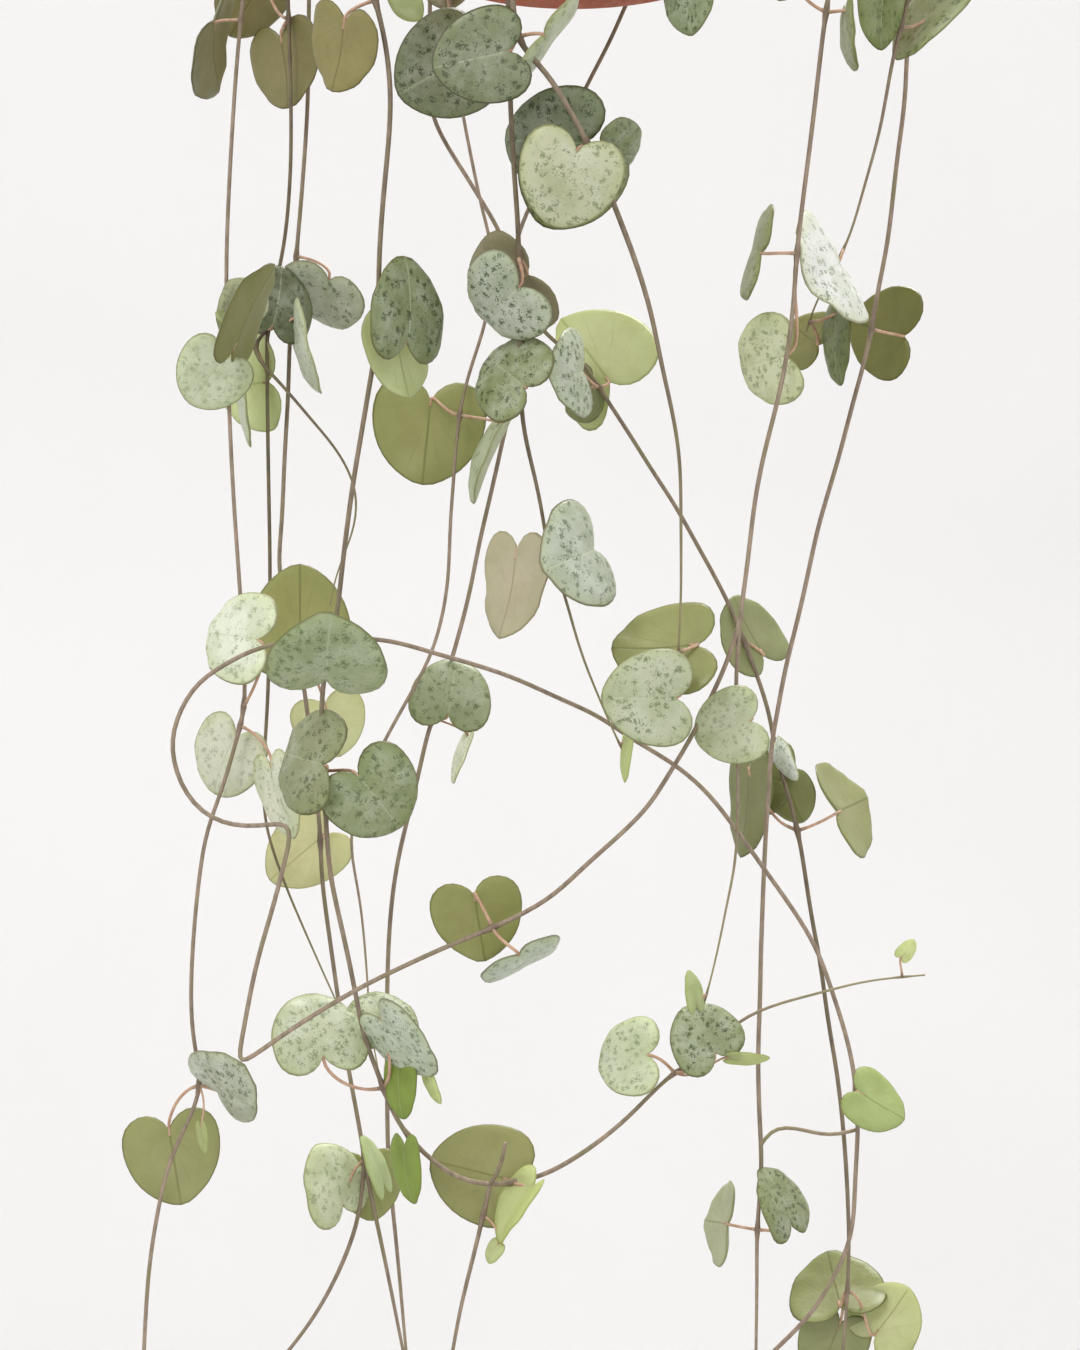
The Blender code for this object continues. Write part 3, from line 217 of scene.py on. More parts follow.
# The stage, in metres and watts
FLOOR_LINE = ((-2.6, -1.9), (2.2, -1.9), (2.2, 2.2))
STAGE_WIDTH = 8
WORLD_COLOUR = (1, 0.99, 0.975, 1)
WORLD_LIGHT = 0.94
LIT_PLACE = Vector((0, 0, -0.4))
SOFT_LIGHTS = [("key", (-0.8, -1.3, 0.9), 0.8, 16), ("top", (0.2, 0.45, 0.6), 0.5, 16),
               ("fill", (1.6, -0.9, -0.3), 1.6, 5)]


def leaf(notch, tip, width, turn=0, ahead=3, lean=-1, fold=FOLD, tone="green"):
    """A leaf as seen from the front, in sheet millimetres: notch and tip, blade width, turn about
    the midrib (0 shows the upper side, 180 the underside), how far the notch stands in front of
    its stem, whether the tip leans to the viewer (1) or away (-1), how far it is folded, and the
    tone of its colours."""
    return dict(notch=notch, tip=tip, width=width, turn=turn, ahead=ahead, lean=lean,
                fold=fold, tone=tone)


def strand(name, root, route, nodes, branches=(), shift=0):
    """A leafy stem: root is the distance of its foot from the pot's axis, each point of route is
    (across, down) or (across, down, ahead) on the sheet, each of nodes is a place there with its
    leaves, and shift is how many degrees farther round it crosses the rim. A branch has a route
    and nodes of its own, and starts as far ahead as the stem that carries it."""
    return dict(name=name, root=root, route=route, nodes=nodes, branches=branches, shift=shift)


STRANDS = [
    strand(
        "stem_left_outer", 34,
        [(48.6, 0, 4), (47.6, 10), (46.7, 22), (45.8, 38), (45.3, 52), (45.4, 68), (45.8, 80),
         (46.2, 90), (47, 104), (48, 118), (49, 136.6), (49, 141.6), (47, 149), (44.4, 158),
         (41.4, 166), (39.8, 176), (38.8, 186), (38.2, 197), (38.4, 206), (39.6, 213), (40.6, 217),
         (38, 223.6), (34.4, 231), (32, 240), (30, 252), (29.2, 262), (28.8, 270, 10)],
        [((48.2, 3), [leaf((42.8, 4.8), (42.6, 18.2), 24, 109, -3, tone="shade")]),
         ((45.4, 66), [leaf((49, 64), (46.5, 56), 13, 30, -5, 1, tone="pale"),
                       leaf((46.6, 69.6), (54, 52.4), 20, 248, 6, tone="olive"),
                       leaf((45.9, 64.6), (43.2, 62.2), 3.2, 40, 1, tone="young")]),
         ((45.4, 69), [leaf((44.6, 71.8), (37.8, 81), 15.2, 0, 4, tone="pale")]),
         ((48.8, 140.4), [leaf((51.6, 128), (40.8, 126.6), 19, 10, 6, tone="mint"),
                          leaf((47.4, 147.4), (42.4, 159), 17, 30, -4, tone="mint")]),
         ((47.8, 145.6), [leaf((54.4, 153.6), (58.4, 168), 12, 50, 3, tone="mint")]),
         ((40.6, 217), [leaf((43.6, 218.2), (48.4, 213.6), 18, 0, 3, 1, tone="silver"),
                        leaf((33.8, 225.8), (36.2, 240.8), 19.2, 180, -3, tone="moss"),
                        leaf((40.2, 225.4), (41, 231), 3, 40, 1, tone="young")])],
    ),
    strand(
        "stem_left_middle", 28,
        [(57.6, 0, -30), (58.2, 22), (58, 36), (56.8, 49), (54.4, 60), (53.4, 66), (53.4, 70),
         (53.6, 90), (54, 116, -34), (53.6, 138), (52.8, 152), (52.6, 159.4), (53.2, 165), (54.4, 169.6),
         (57.2, 177.4), (60, 184), (64.4, 194), (67.4, 200.6), (70, 206.4, -14)],
        [((57.8, 3), [leaf((52, -3), (45.6, 7), 16, 150, -4, tone="shade"),
                      leaf((56.3, 7.6), (58.4, 21.8), 18, 220, -4, tone="shade")]),
         ((53.4, 66), [leaf((54.4, 65), (56.6, 53), 16, 20, 3, tone="dark"),
                       leaf((59.4, 64), (63.4, 79), 17, 80, 3, tone="mint")])],
        [dict(route=[(53.4, 66, None), (50.4, 68), (50.8, 71), (53.6, 74), (57.8, 78.6), (62, 83.6),
                     (67.4, 90), (70.4, 95.6), (71.4, 100), (71, 105), (69.2, 110), (67, 115.4),
                     (66, 121, -4)],
              nodes=[((50.6, 69.6), [leaf((53.6, 76.4), (43.6, 77.6), 19.6, 180, -5, tone="lit"),
                                     leaf((48, 72), (49.6, 89.6), 11, 82, -1, tone="pale")])])],
    ),
    strand(
        "stem_left_back", 22,
        [(61.8, 0, -40), (61.6, 19), (61, 30), (60, 43), (59.4, 49.6), (58.6, 60), (58, 67, -39),
         (57.6, 80, -37), (57, 90), (56.4, 104), (55.8, 114), (58, 124), (60, 132, -24), (62.4, 150),
         (64, 166), (64.4, 176), (66, 188), (67.4, 198), (69.4, 212), (72, 226), (73.6, 236),
         (77, 252), (80.6, 270, -20)],
        [((59.2, 52), [leaf((65.8, 55.8), (61.8, 64), 18, 0, 5, fold=0.4, tone="silver")]),
         ((59.8, 131), [leaf((60, 131), (60, 112.8), 20.6, 180, 5, tone="olive"),
                        leaf((65, 141), (68, 151), 15, 180, -4, tone="veil")]),
         ((64.1, 168), [leaf((65, 166.8), (54, 176), 15.4, 180, -4, tone="veil")]),
         ((73, 232), [leaf((68.4, 241), (63.6, 228.8), 17, 40, 4, tone="pale"),
                      leaf((73.4, 232.6), (74.6, 244), 13.5, 180, -4, tone="olive"),
                      leaf((76.6, 237), (72.6, 227), 8, 60, 2, tone="young")])],
        [dict(route=[(73, 232, None), (71.8, 243), (70, 249), (66, 258), (61, 266), (57, 271, -16)],
              nodes=[])],
    ),
    strand(
        "stem_front_left", 30,
        [(75, 0, 54), (76.2, 4), (77.2, 9), (77.9, 15), (78.2, 21), (77.7, 29), (76.7, 39),
         (75.8, 52), (75.6, 66), (74.4, 74), (72.4, 86), (70.4, 98), (68.6, 112), (67.4, 123),
         (65.6, 132), (64.4, 138), (64.4, 152), (65.2, 164), (66, 175), (68, 184), (70.4, 195),
         (73, 208), (76.6, 217, 26), (78, 222), (82, 228), (86.4, 232), (91, 235.6), (98, 237.4),
         (103, 236.6), (109, 235), (116, 231), (124, 225), (130, 219), (135, 214), (138, 213),
         (143, 209), (147.6, 204), (156, 200.6), (164, 198.6), (172, 196.4), (180, 195.4),
         (185, 195, 20)],
        [((75.4, 1), [leaf((69, 4.2), (67.4, 18.4), 20, 228, -3, tone="shade"),
                      leaf((80, -2), (84, 4), 8, 30, 1, tone="young")]),
         ((75.6, 63), [leaf((81.2, 68.4), (81.4, 51), 19, 40, 5, tone="green"),
                       leaf((79, 65), (81, 80), 17, 140, -3, tone="lit")]),
         ((67, 126), [leaf((65.2, 136), (66, 123.4), 24, 0, 6, 1, tone="sage")]),
         ((64.6, 154), [leaf((65, 153), (56, 150.4), 21.6, 0, 5, tone="sage"),
                        leaf((71.6, 155), (80.4, 166), 20, 0, 4, tone="green")]),
         ((76.6, 217), [leaf((64.6, 211.4), (61.6, 198.2), 20, 20, 5, tone="pale"),
                        leaf((77, 207), (74, 198), 15, 20, -4, tone="sage"),
                        leaf((76.4, 204), (86.8, 215.4), 14.5, 50, 5, tone="silver"),
                        leaf((80, 213.6), (80.4, 224), 8.6, 40, 2, tone="sprout"),
                        leaf((85.6, 215.4), (88, 221), 4.5, 60, 2, tone="young")]),
         ((82, 228), [leaf((81, 229.4), (82.4, 241), 9, 50, 2, tone="sprout")]),
         ((102, 236.8), [leaf((102, 236), (86, 232), 20, 180, -4, tone="moss"),
                         leaf((106.8, 237.4), (99.4, 248.4), 13, 62, 3, fold=0.45, tone="young")]),
         ((135.2, 214), [leaf((129.4, 211), (119.2, 212.4), 16, 15, 3, tone="pale"),
                         leaf((143, 210.6), (136.6, 201.4), 15, 10, 3, tone="sage"),
                         leaf((146.4, 211.6), (154, 211.8), 5, 60, 2, tone="young")]),
         ((180.4, 195.4), [leaf((180.4, 191.2), (183, 188), 4, 30, 1, tone="young")])],
        [dict(route=[(98, 237.4, None), (100.4, 233), (101, 228.6, 30)], nodes=[]),
         dict(route=[(98, 237.4, None), (96.2, 245), (94, 254), (92, 262), (90.4, 271, 26)],
              nodes=[((96.4, 244), [leaf((99.6, 249), (97.4, 252.6), 4.5, 40, 2, tone="young")])])],
    ),
    strand(
        "stem_back_left", 26,
        [(90, 0, -52), (91, 12), (92.6, 23), (96, 40), (98.4, 50), (98, 58), (97, 65), (94, 74),
         (91.8, 83.4), (90.4, 100), (90, 106), (89.4, 118), (86.6, 130), (82, 139), (77.2, 147.6),
         (72.4, 158), (70, 168), (72, 180), (73.2, 192), (74, 204), (75.6, 214), (76.8, 219, -6)],
        [((90.4, 5), [leaf((93.8, 10.8), (79.6, 19), 21, 0, 6, tone="dark"),
                      leaf((89, -8), (89.4, 2.2), 12, 180, -3, tone="rose")]),
         ((91.8, 83.4), [leaf((86.2, 79.9), (84.5, 97.1), 22.6, 180, -3, tone="olive"),
                         leaf((101, 86), (94.2, 100.6), 13, 80, 3, fold=0.5, tone="pale")])],
        shift=-7,
    ),
    strand(
        "stem_back_middle", 18,
        [(86, 0, -58), (86, 12), (86.6, 23.6), (95, 38), (100, 46.4), (101.6, 51.6), (102.4, 60),
         (103, 70), (102.4, 80), (101, 86), (98.6, 97), (96, 108), (93.6, 120), (90.6, 131),
         (88, 140), (85.8, 145.6), (83, 158), (80, 170), (78.4, 180), (77.6, 192), (77.4, 208),
         (77.6, 230), (78.4, 240), (79.6, 252), (81.2, 270, -36)],
        [((86.6, 143.4), [leaf((89.6, 143), (91.4, 131.4), 16.4, 0, 4, tone="sage"),
                          leaf((93.4, 147.8), (90.2, 156.6), 7, 72, 3, tone="mint")])],
        shift=7,
    ),
    strand(
        "stem_front_middle", 36,
        [(102.6, 0, 64), (102.8, 5), (102.2, 8.4), (106.6, 11.4), (110.4, 16), (114, 22),
         (116.6, 26.8), (118, 29.4), (121, 36), (122.8, 41), (125.6, 48), (129, 58), (131, 66),
         (132.4, 73.4), (134.4, 82), (136, 92.2), (136.2, 106), (136.2, 120), (135.8, 128),
         (135.6, 132.4, 46)],
        [((102.5, 7), [leaf((101.8, 10.2), (86.4, 13.6), 18.8, 0, 3, tone="dark"),
                       leaf((108.8, 7), (110.6, 8.4), 21, 0, 1, tone="pale")]),
         ((117.6, 28.8), [leaf((117, 28.6), (100.6, 28), 22, 0, -4, tone="dark"),
                          leaf((116.4, 30), (108.8, 45.2), 22, 0, -7, tone="green"),
                          leaf((115.4, 30.2), (110.6, 45.4), 21, 0, 5, tone="pale"),
                          leaf((120.6, 29.6), (127.6, 31.4), 14.5, 20, -2, tone="green")]),
         ((135.7, 130), [leaf((139.4, 129), (122.4, 130.6), 22.5, 216, -3, tone="olive"),
                         leaf((135.2, 139.6), (120.2, 139.4), 19.5, 0, 5, tone="pale")])],
    ),
    strand(
        "stem_front_inner", 24,
        [(101.6, 0, 60), (102, 9), (102, 19), (102.8, 34), (103.6, 45), (103.8, 54), (104, 68),
         (104.4, 84), (106.4, 93), (108.2, 101), (109.8, 111), (112.4, 117), (116, 130), (120, 140),
         (123, 147), (124.8, 150.6, 36)],
        [((103.7, 52), [leaf((105.4, 55), (95.8, 61.8), 22, 180, -3, tone="rose"),
                        leaf((103.8, 57.4), (96, 64.4), 20, 0, 5, tone="silver")]),
         ((104.2, 76), [leaf((105, 77.4), (97, 71), 18.5, 0, 4, tone="green")]),
         ((109.8, 111), [leaf((118.6, 110), (109.4, 113.8), 22.4, 0, 4, 1, tone="silver"),
                         leaf((103.4, 110.4), (101, 128), 23, 237, -2, tone="blush")]),
         ((124, 149), [leaf((125.6, 147.6), (124.8, 156.6), 4.4, 60, 1, tone="young")])],
        shift=9,
    ),
    strand(
        "stem_front_right", 32,
        [(140.6, -16, 61), (139.8, -9), (139.2, -3.6, 60)],
        [((140.4, -13), [leaf((135.6, -14), (129.4, -4), 15, 20, 3, tone="green"),
                         leaf((145, -15), (150, -6), 14, 30, 2, tone="sage")]),
         ((139.3, -4.6), [leaf((138.2, -5.4), (138, 7), 14.5, 42, 3, tone="sage"),
                          leaf((141.6, -8), (146.4, -14), 8, 30, -2, tone="young")])],
    ),
    strand(
        "stem_back_right", 30,
        [(125.6, 0, -44), (121.6, 9), (117.6, 16.6), (111.2, 30), (105.4, 42.4), (103.4, 47.6),
         (102.6, 51.6), (105, 60), (109, 67), (115, 71), (118, 74.4), (120, 77.8), (126.4, 87.6),
         (131, 95), (135, 101), (140, 110), (144.4, 118), (147.6, 125), (151, 134), (154, 143),
         (154.8, 149), (156.4, 155), (158, 160), (159.6, 166.4), (160.6, 172), (162.4, 184),
         (164, 192), (165.6, 204), (167.6, 216), (169, 230), (169.8, 247), (169.4, 260),
         (168.6, 270, -8)],
        [((120, 77.8), [leaf((116.4, 74.4), (110.6, 75.4), 18, 0, 3, 1, tone="silver"),
                        leaf((118.4, 77.4), (113.6, 82.4), 12, 215, -3, tone="olive"),
                        leaf((121.8, 76.4), (112.8, 64), 24, 162, -3, fold=0.5, tone="lit")]),
         ((148.6, 128), [leaf((152.6, 131), (145.8, 119.6), 17, 225, -3, tone="moss")]),
         ((154.8, 149), [leaf((155.4, 149.2), (159.2, 156.4), 8, 60, 3, tone="frost"),
                         leaf((157, 156.6), (160.8, 164.4), 10.5, 200, -3, tone="olive"),
                         leaf((154.6, 151), (154, 163), 10, 205, -5, tone="olive")]),
         ((159.6, 166.4), [leaf((150, 154), (149, 171.6), 17, 240, -3, tone="olive"),
                           leaf((167.6, 162.4), (172.6, 160.1), 20.8, 180, -2, tone="moss")]),
         ((169.5, 258), [leaf((168, 261.4), (165.6, 250.9), 19.6, 180, -3, tone="olive"),
                         leaf((168, 264.6), (163, 277), 14, 180, -5, tone="moss"),
                         leaf((175, 267), (182.2, 257.6), 15, 165, -2, tone="lit")])],
    ),
    strand(
        "stem_right_long", 34,
        [(165.6, 0, 38), (164.8, 5), (164, 12), (162.4, 26), (160.6, 40), (159.4, 50.4),
         (158.8, 60), (157.6, 70), (155.6, 80), (153, 90), (151, 100), (149.6, 112), (148, 124),
         (147.4, 132), (147.2, 140), (147.6, 154), (147.2, 171.6), (145.6, 179.6), (144, 188),
         (142.4, 195), (140.8, 200.8, 30)],
        [((165.4, 2.8), [leaf((159.6, -3.5), (157, -17), 15, 20, 2, 1, tone="sage"),
                         leaf((169.5, 2.7), (170.6, 14.2), 14.8, 80, 2, tone="olive")]),
         ((159.4, 50.6), [leaf((152.2, 50.6), (150.4, 50.1), 19.5, 0, 1, tone="olive"),
                          leaf((157, 71.2), (147.4, 73.6), 18.6, 0, -4, tone="pale")]),
         ((147.3, 139.6), [leaf((150, 144.2), (138.8, 147.6), 15.6, 0, 4, tone="pale")]),
         ((141.2, 199), [leaf((139.2, 201), (137.8, 194), 5.4, 48, 2, tone="young")])],
        [dict(route=[(148, 124, None), (145.6, 132), (142.4, 139), (138, 148), (133, 156),
                     (130, 161), (124, 167), (116, 174), (111, 179), (104, 183), (98.6, 185.6),
                     (90, 189), (80, 193.6), (73, 197), (66, 201), (58, 206), (49, 212.4, 40),
                     (47, 214), (48, 210), (51, 194), (55, 180), (58, 168), (58.8, 163.4),
                     (54, 165.2), (49, 165.6), (42, 164), (37, 159), (34.4, 152), (34.4, 146),
                     (37, 140), (39.6, 136), (45, 133), (50, 130), (56.6, 128.4), (66, 127.6),
                     (77.8, 128), (86, 130.4), (96, 133.2), (104, 136), (112, 139.8), (120, 143.2),
                     (125, 147), (132, 151), (136, 153.6), (142, 159), (148, 167), (153, 174),
                     (158, 181), (163, 189), (166, 197), (170, 210), (171.4, 220), (171.6, 226),
                     (171, 236), (170.4, 247), (167, 255), (162, 263), (155, 270, 12)],
              nodes=[((98.6, 185.6), [leaf((94.8, 178.8), (97, 191.8), 18.4, 180, -4, tone="olive"),
                                      leaf((103.8, 190.9), (105.2, 193.6), 17.6, 0, 3,
                                           tone="silver")]),
                     ((171.2, 219), [leaf((171.6, 218.4), (180.6, 224.2), 13, 150, 2, tone="lime")])]),
         dict(route=[(171, 226, None), (166, 227.4), (161, 226), (157, 225), (153.6, 225.6),
                     (152.2, 229, 18)], nodes=[])],
    ),
    strand(
        "stem_right_short", 30,
        [(181.6, 0, 14), (178.6, 11.6), (176, 26), (173.2, 36), (171.4, 42.6), (169, 50),
         (167.6, 51.6), (165, 57), (162.4, 62), (161.2, 66.4, 10)],
        [((179.8, 6), [leaf((177, -3), (176.2, 10), 10.2, 20, 3, fold=0.4, tone="deep"),
                       leaf((190, -2), (179, 11.6), 14, 50, -3, tone="sage")]),
         ((168.4, 50.8), [leaf((167.6, 53), (162.4, 56), 25, 0, 4, 1, tone="frost")]),
         ((161.4, 65), [leaf((167.6, 63), (167.6, 77.2), 11, 60, 2, tone="deep"),
                        leaf((163.6, 69), (158.4, 65), 13, 180, -3, tone="olive")])],
    ),
    strand(
        "stem_right_outer", 36,
        [(182.4, 0, -12), (181.4, 10), (181, 20), (179.4, 32), (177.6, 48), (175.6, 58),
         (174.4, 65.6), (173, 72), (171, 79), (167.6, 92), (164, 104), (162.4, 111), (160, 122),
         (157, 134), (155.4, 143), (154.4, 148), (153.6, 160), (153.2, 166), (152.8, 174),
         (152.2, 190), (152, 200), (151.6, 212), (152, 226), (152.4, 233), (151.4, 246),
         (151.4, 254), (151.2, 270, 2)],
        [((174.4, 65.6), [leaf((180.8, 67.2), (170.4, 64.4), 19, 180, -3, tone="deep")]),
         ((151.4, 245.6), [leaf((158, 244.8), (152.8, 233.2), 17, 58, 3, tone="green"),
                           leaf((145.4, 244.8), (141.8, 244.2), 17, 180, -2, tone="pale")])],
    ),
]


def unit(v):
    """The direction of v."""
    return np.asarray(v, float) / np.linalg.norm(v)


def seen(across, down, ahead):
    """The place of a sheet point that stands ahead of the pot's axis, on the sight line."""
    nearer = (VIEW_DISTANCE - ahead) / VIEW_DISTANCE
    x = EYE[0] + (across - AXIS_ACROSS - EYE[0]) * nearer
    z = EYE[2] + (TOP_LINE - down - EYE[2]) * nearer
    return np.array((x, -ahead, z))


def smooth(points, step):
    """Points about a step apart on a smooth curve through the given ones."""
    points = [np.asarray(p, float) for p in points]
    ends = [2 * points[0] - points[1]] + points + [2 * points[-1] - points[-2]]
    curve = []
    for p0, p1, p2, p3 in zip(ends, ends[1:], ends[2:], ends[3:]):
        count = max(1, round(float(np.linalg.norm(p2 - p1)) / step))
        for t in np.arange(count) / count:
            curve.append(0.5 * (2 * p1 + (p2 - p0) * t + (2 * p0 - 5 * p1 + 4 * p2 - p3) * t**2
                                + (3 * p1 - p0 - 3 * p2 + p3) * t**3))
    return curve + [points[-1]]


def eased(points):
    """Points along a curve with its small kinks evened out."""
    points = np.array(points)
    for _ in range(EASING):
        points[1:-1] = (points[:-2] + 2 * points[1:-1] + points[2:]) / 4
    return list(points)


def route_points(route, start_ahead=0.0):
    """A sheet route as places, with the distance ahead shared out between the points that give it."""
    flat = np.array([p[:2] for p in route], float)
    run = np.concatenate(([0], np.cumsum(np.linalg.norm(np.diff(flat, axis=0), axis=1))))
    given = [(r, start_ahead if p[2] is None else p[2]) for r, p in zip(run, route) if len(p) == 3]
    aheads = np.interp(run, [r for r, _ in given], [a for _, a in given])
    return [seen(x, y, a) for (x, y), a in zip(flat, aheads)]


def sheet_place(place):
    """Where a place shows on the sheet: across and down."""
    nearer = (VIEW_DISTANCE + place[1]) / VIEW_DISTANCE
    across = EYE[0] + (place[0] - EYE[0]) / nearer + AXIS_ACROSS
    down = TOP_LINE - EYE[2] - (place[2] - EYE[2]) / nearer
    return np.array((across, down))


def nearest(path, across, down):
    """The point of a path that shows nearest to a sheet point."""
    shown = np.array([sheet_place(p) for p in path])
    return int(np.argmin(np.linalg.norm(shown - (across, down), axis=1)))


def blade(notch, heading, normal, width, stretch=1.0, fold=FOLD):
    """A leaf blade by its notch, the direction of its tip and the way its upper side looks."""
    heading = unit(heading)
    normal = unit(normal - np.dot(normal, heading) * heading)
    side = np.cross(heading, normal)
    return dict(notch=notch, heading=heading, normal=normal, side=side, width=width,
                stretch=stretch, fold=fold)


def drawn_blade(spec, stem_ahead):
    """The blade of a leaf given as it is seen from the front."""
    ahead = stem_ahead + spec["ahead"]
    nearer = (VIEW_DISTANCE - ahead) / VIEW_DISTANCE
    notch = seen(*spec["notch"], ahead)
    width = spec["width"] * nearer
    shown = float(np.linalg.norm(np.subtract(spec["tip"], spec["notch"]))) * nearer
    length = TIP_AHEAD_OF_NOTCH * width
    leaning = spec["lean"] * math.sqrt(max(length**2 - shown**2, 0.0))
    tip = seen(*spec["tip"], ahead + leaning)
    heading = unit(tip - notch)
    facing = unit(np.subtract(EYE, notch))
    facing = unit(facing - np.dot(facing, heading) * heading)
    turn = math.radians(spec["turn"])
    normal = facing * math.cos(turn) + np.cross(heading, facing) * math.sin(turn)
    stretch = float(np.linalg.norm(tip - notch)) / length
    return blade(notch, heading, normal, width, stretch, spec["fold"])


def blade_height(a, b, fold):
    """How far a blade stands above its own plane: a groove along the midrib, drooping edges."""
    return fold * abs(a) - DROOP * (a**2 + (b - DROOP_CENTRE)**2 - DROOP_CENTRE**2)


def blade_place(leaf_blade, a, b, above=0.0):
    """The place of a blade's point: a across and b along, in blade widths, above in millimetres."""
    w = leaf_blade["width"]
    return (leaf_blade["notch"] + leaf_blade["side"] * a * w
            + leaf_blade["heading"] * b * w * leaf_blade["stretch"]
            + leaf_blade["normal"] * (blade_height(a, b, leaf_blade["fold"]) * w + above))


def half_outline(count):
    """The right half of a blade's outline from notch to tip, as count + 1 points."""
    fine = smooth([np.array(p) for p in HALF_OUTLINE], 0.02)
    run = np.concatenate(([0], np.cumsum(np.linalg.norm(np.diff(fine, axis=0), axis=1))))
    wanted = np.linspace(0, run[-1], count + 1)
    return [(float(np.interp(r, run, [p[0] for p in fine])),
             float(np.interp(r, run, [p[1] for p in fine]))) for r in wanted]


def outline(count):
    """A blade's outline, anticlockwise from the notch round the tip, as 2 x count points."""
    right = half_outline(count)
    return right + [(-a, b) for a, b in reversed(right[1:-1])]


def petiole_points(start, leaf_blade, tangent):
    """The leaf stalk's curve, from the stem's centre into the blade at its notch."""
    end = leaf_blade["notch"]
    span = end - start
    length = float(np.linalg.norm(span))
    out = unit(span - 0.8 * np.dot(span, tangent) * tangent)
    first = start + out * 0.45 * length
    last = end - leaf_blade["heading"] * 0.22 * length - leaf_blade["normal"] * 0.12 * length
    curve = []
    for t in np.linspace(0, 1, PETIOLE_STEPS + 1):
        curve.append(start * (1 - t)**3 + 3 * first * t * (1 - t)**2 + 3 * last * t**2 * (1 - t)
                     + end * t**3)
    return curve + [end + leaf_blade["heading"] * SUNK - leaf_blade["normal"] * 0.1]


def wire_line(k):
    """The straight stretch of a hanger wire, from beside the rim up to the collar."""
    angle = math.radians(WIRE_AZIMUTHS[k])
    low = (RIM_RADIUS - WALL - 4, RIM_Z - WIRE_HOLE_DROP + 5)
    return [(r * math.cos(angle), r * math.sin(angle), z)
            for r, z in (low, (WIRE_TOP_RADIUS, COLLAR_FOOT))]


def wall_radius(z):
    """The pot's outer radius at a height."""
    if z > RIM_Z - COLLAR_HEIGHT:
        return RIM_RADIUS
    return BASE_RADIUS + WALL_SLOPE * (z - BASE_Z)


def over_the_rim(root, first, shift=0.0):
    """A stem's way out of the soil, over the rim and down to its first point below."""
    azimuth = math.atan2(first[1], first[0])
    reach = math.hypot(first[0], first[1])
    hang = RIM_RADIUS + HANG_GAP
    low = RIM_Z - 0.75 * COLLAR_HEIGHT
    profile = [(root, SOIL_Z - ROOT_DEPTH, 1), (root, SOIL_Z - 2, 1), (root, SOIL_Z + 4, 1),
               (root + 3, RIM_Z + CREST / 2, 1), ((root + RIM_RADIUS) / 2 + 2, RIM_Z + CREST, 1),
               (RIM_RADIUS - 1, RIM_Z + 0.8 * CREST, 1), (hang - 0.6, RIM_Z - 1, 1),
               (hang, low, 0.8), ((hang + reach) / 2, (low + first[2]) / 2, 0.4)]
    path = []
    for r, z, turned in profile:
        angle = azimuth + shift * turned
        path.append(np.array((r * math.cos(angle), r * math.sin(angle), z)))
    return path + [first]


def samples(leaf_blade):
    """Points spread over a blade, for the tests of what it would touch."""
    ring = outline(8)
    spread = [(a * f, TEST_CENTRE + (b - TEST_CENTRE) * f) for f in (1.0, 0.6, 0.25) for a, b in ring]
    return np.array([blade_place(leaf_blade, a, b) for a, b in spread])


def pierced(leaf_blade, points, clearance):
    """Whether any of the points lies in a blade or within a clearance of its faces."""
    width = leaf_blade["width"]
    offset = points - leaf_blade["notch"]
    a = offset @ leaf_blade["side"] / width
    b = offset @ leaf_blade["heading"] / (width * leaf_blade["stretch"])
    above = offset @ leaf_blade["normal"] - blade_height(np.abs(a), b, leaf_blade["fold"]) * width
    inside = (a / TEST_REACH)**2 + ((b - TEST_CENTRE) / TEST_REACH)**2 < 1
    return bool(np.any(inside & (np.abs(above) < clearance)))


def hits_pot(points):
    """Whether any of the points lies in or too near the pot, its soil or a hanger wire."""
    r = np.hypot(points[:, 0], points[:, 1])
    z = points[:, 2]
    wall = np.array([wall_radius(h) for h in z]) + POT_CLEARANCE
    beside = (z < RIM_Z + POT_CLEARANCE) & (z > BASE_Z - POT_CLEARANCE) & (r < wall)
    inner = (r < RIM_RADIUS - WALL - POT_CLEARANCE) & (z > SOIL_Z + POT_CLEARANCE)
    if np.any(beside & ~inner):
        return True
    for k in range(3):
        low, high = (np.array(p) for p in wire_line(k))
        along = np.clip((points - low) @ (high - low) / np.dot(high - low, high - low), 0, 1)
        if np.any(np.linalg.norm(points - low - along[:, None] * (high - low), axis=1) < WIRE_ROOM):
            return True
    return False


def fits(leaf_blade, stalk, taken, stems):
    """Whether a leaf keeps clear of the blades and stems that are there already, and of the pot."""
    mine = samples(leaf_blade)
    centre = mine.mean(axis=0)
    if hits_pot(mine):
        return False
    for other, points in taken:
        near = (leaf_blade["width"] + other["width"]) * 0.8
        if np.linalg.norm(centre - points.mean(axis=0)) < near and (
                pierced(other, mine, BLADE_CLEARANCE) or pierced(leaf_blade, points, BLADE_CLEARANCE)
                or pierced(other, stalk, STEM_CLEARANCE)):
            return False
    return not pierced(leaf_blade, stems, STEM_CLEARANCE)


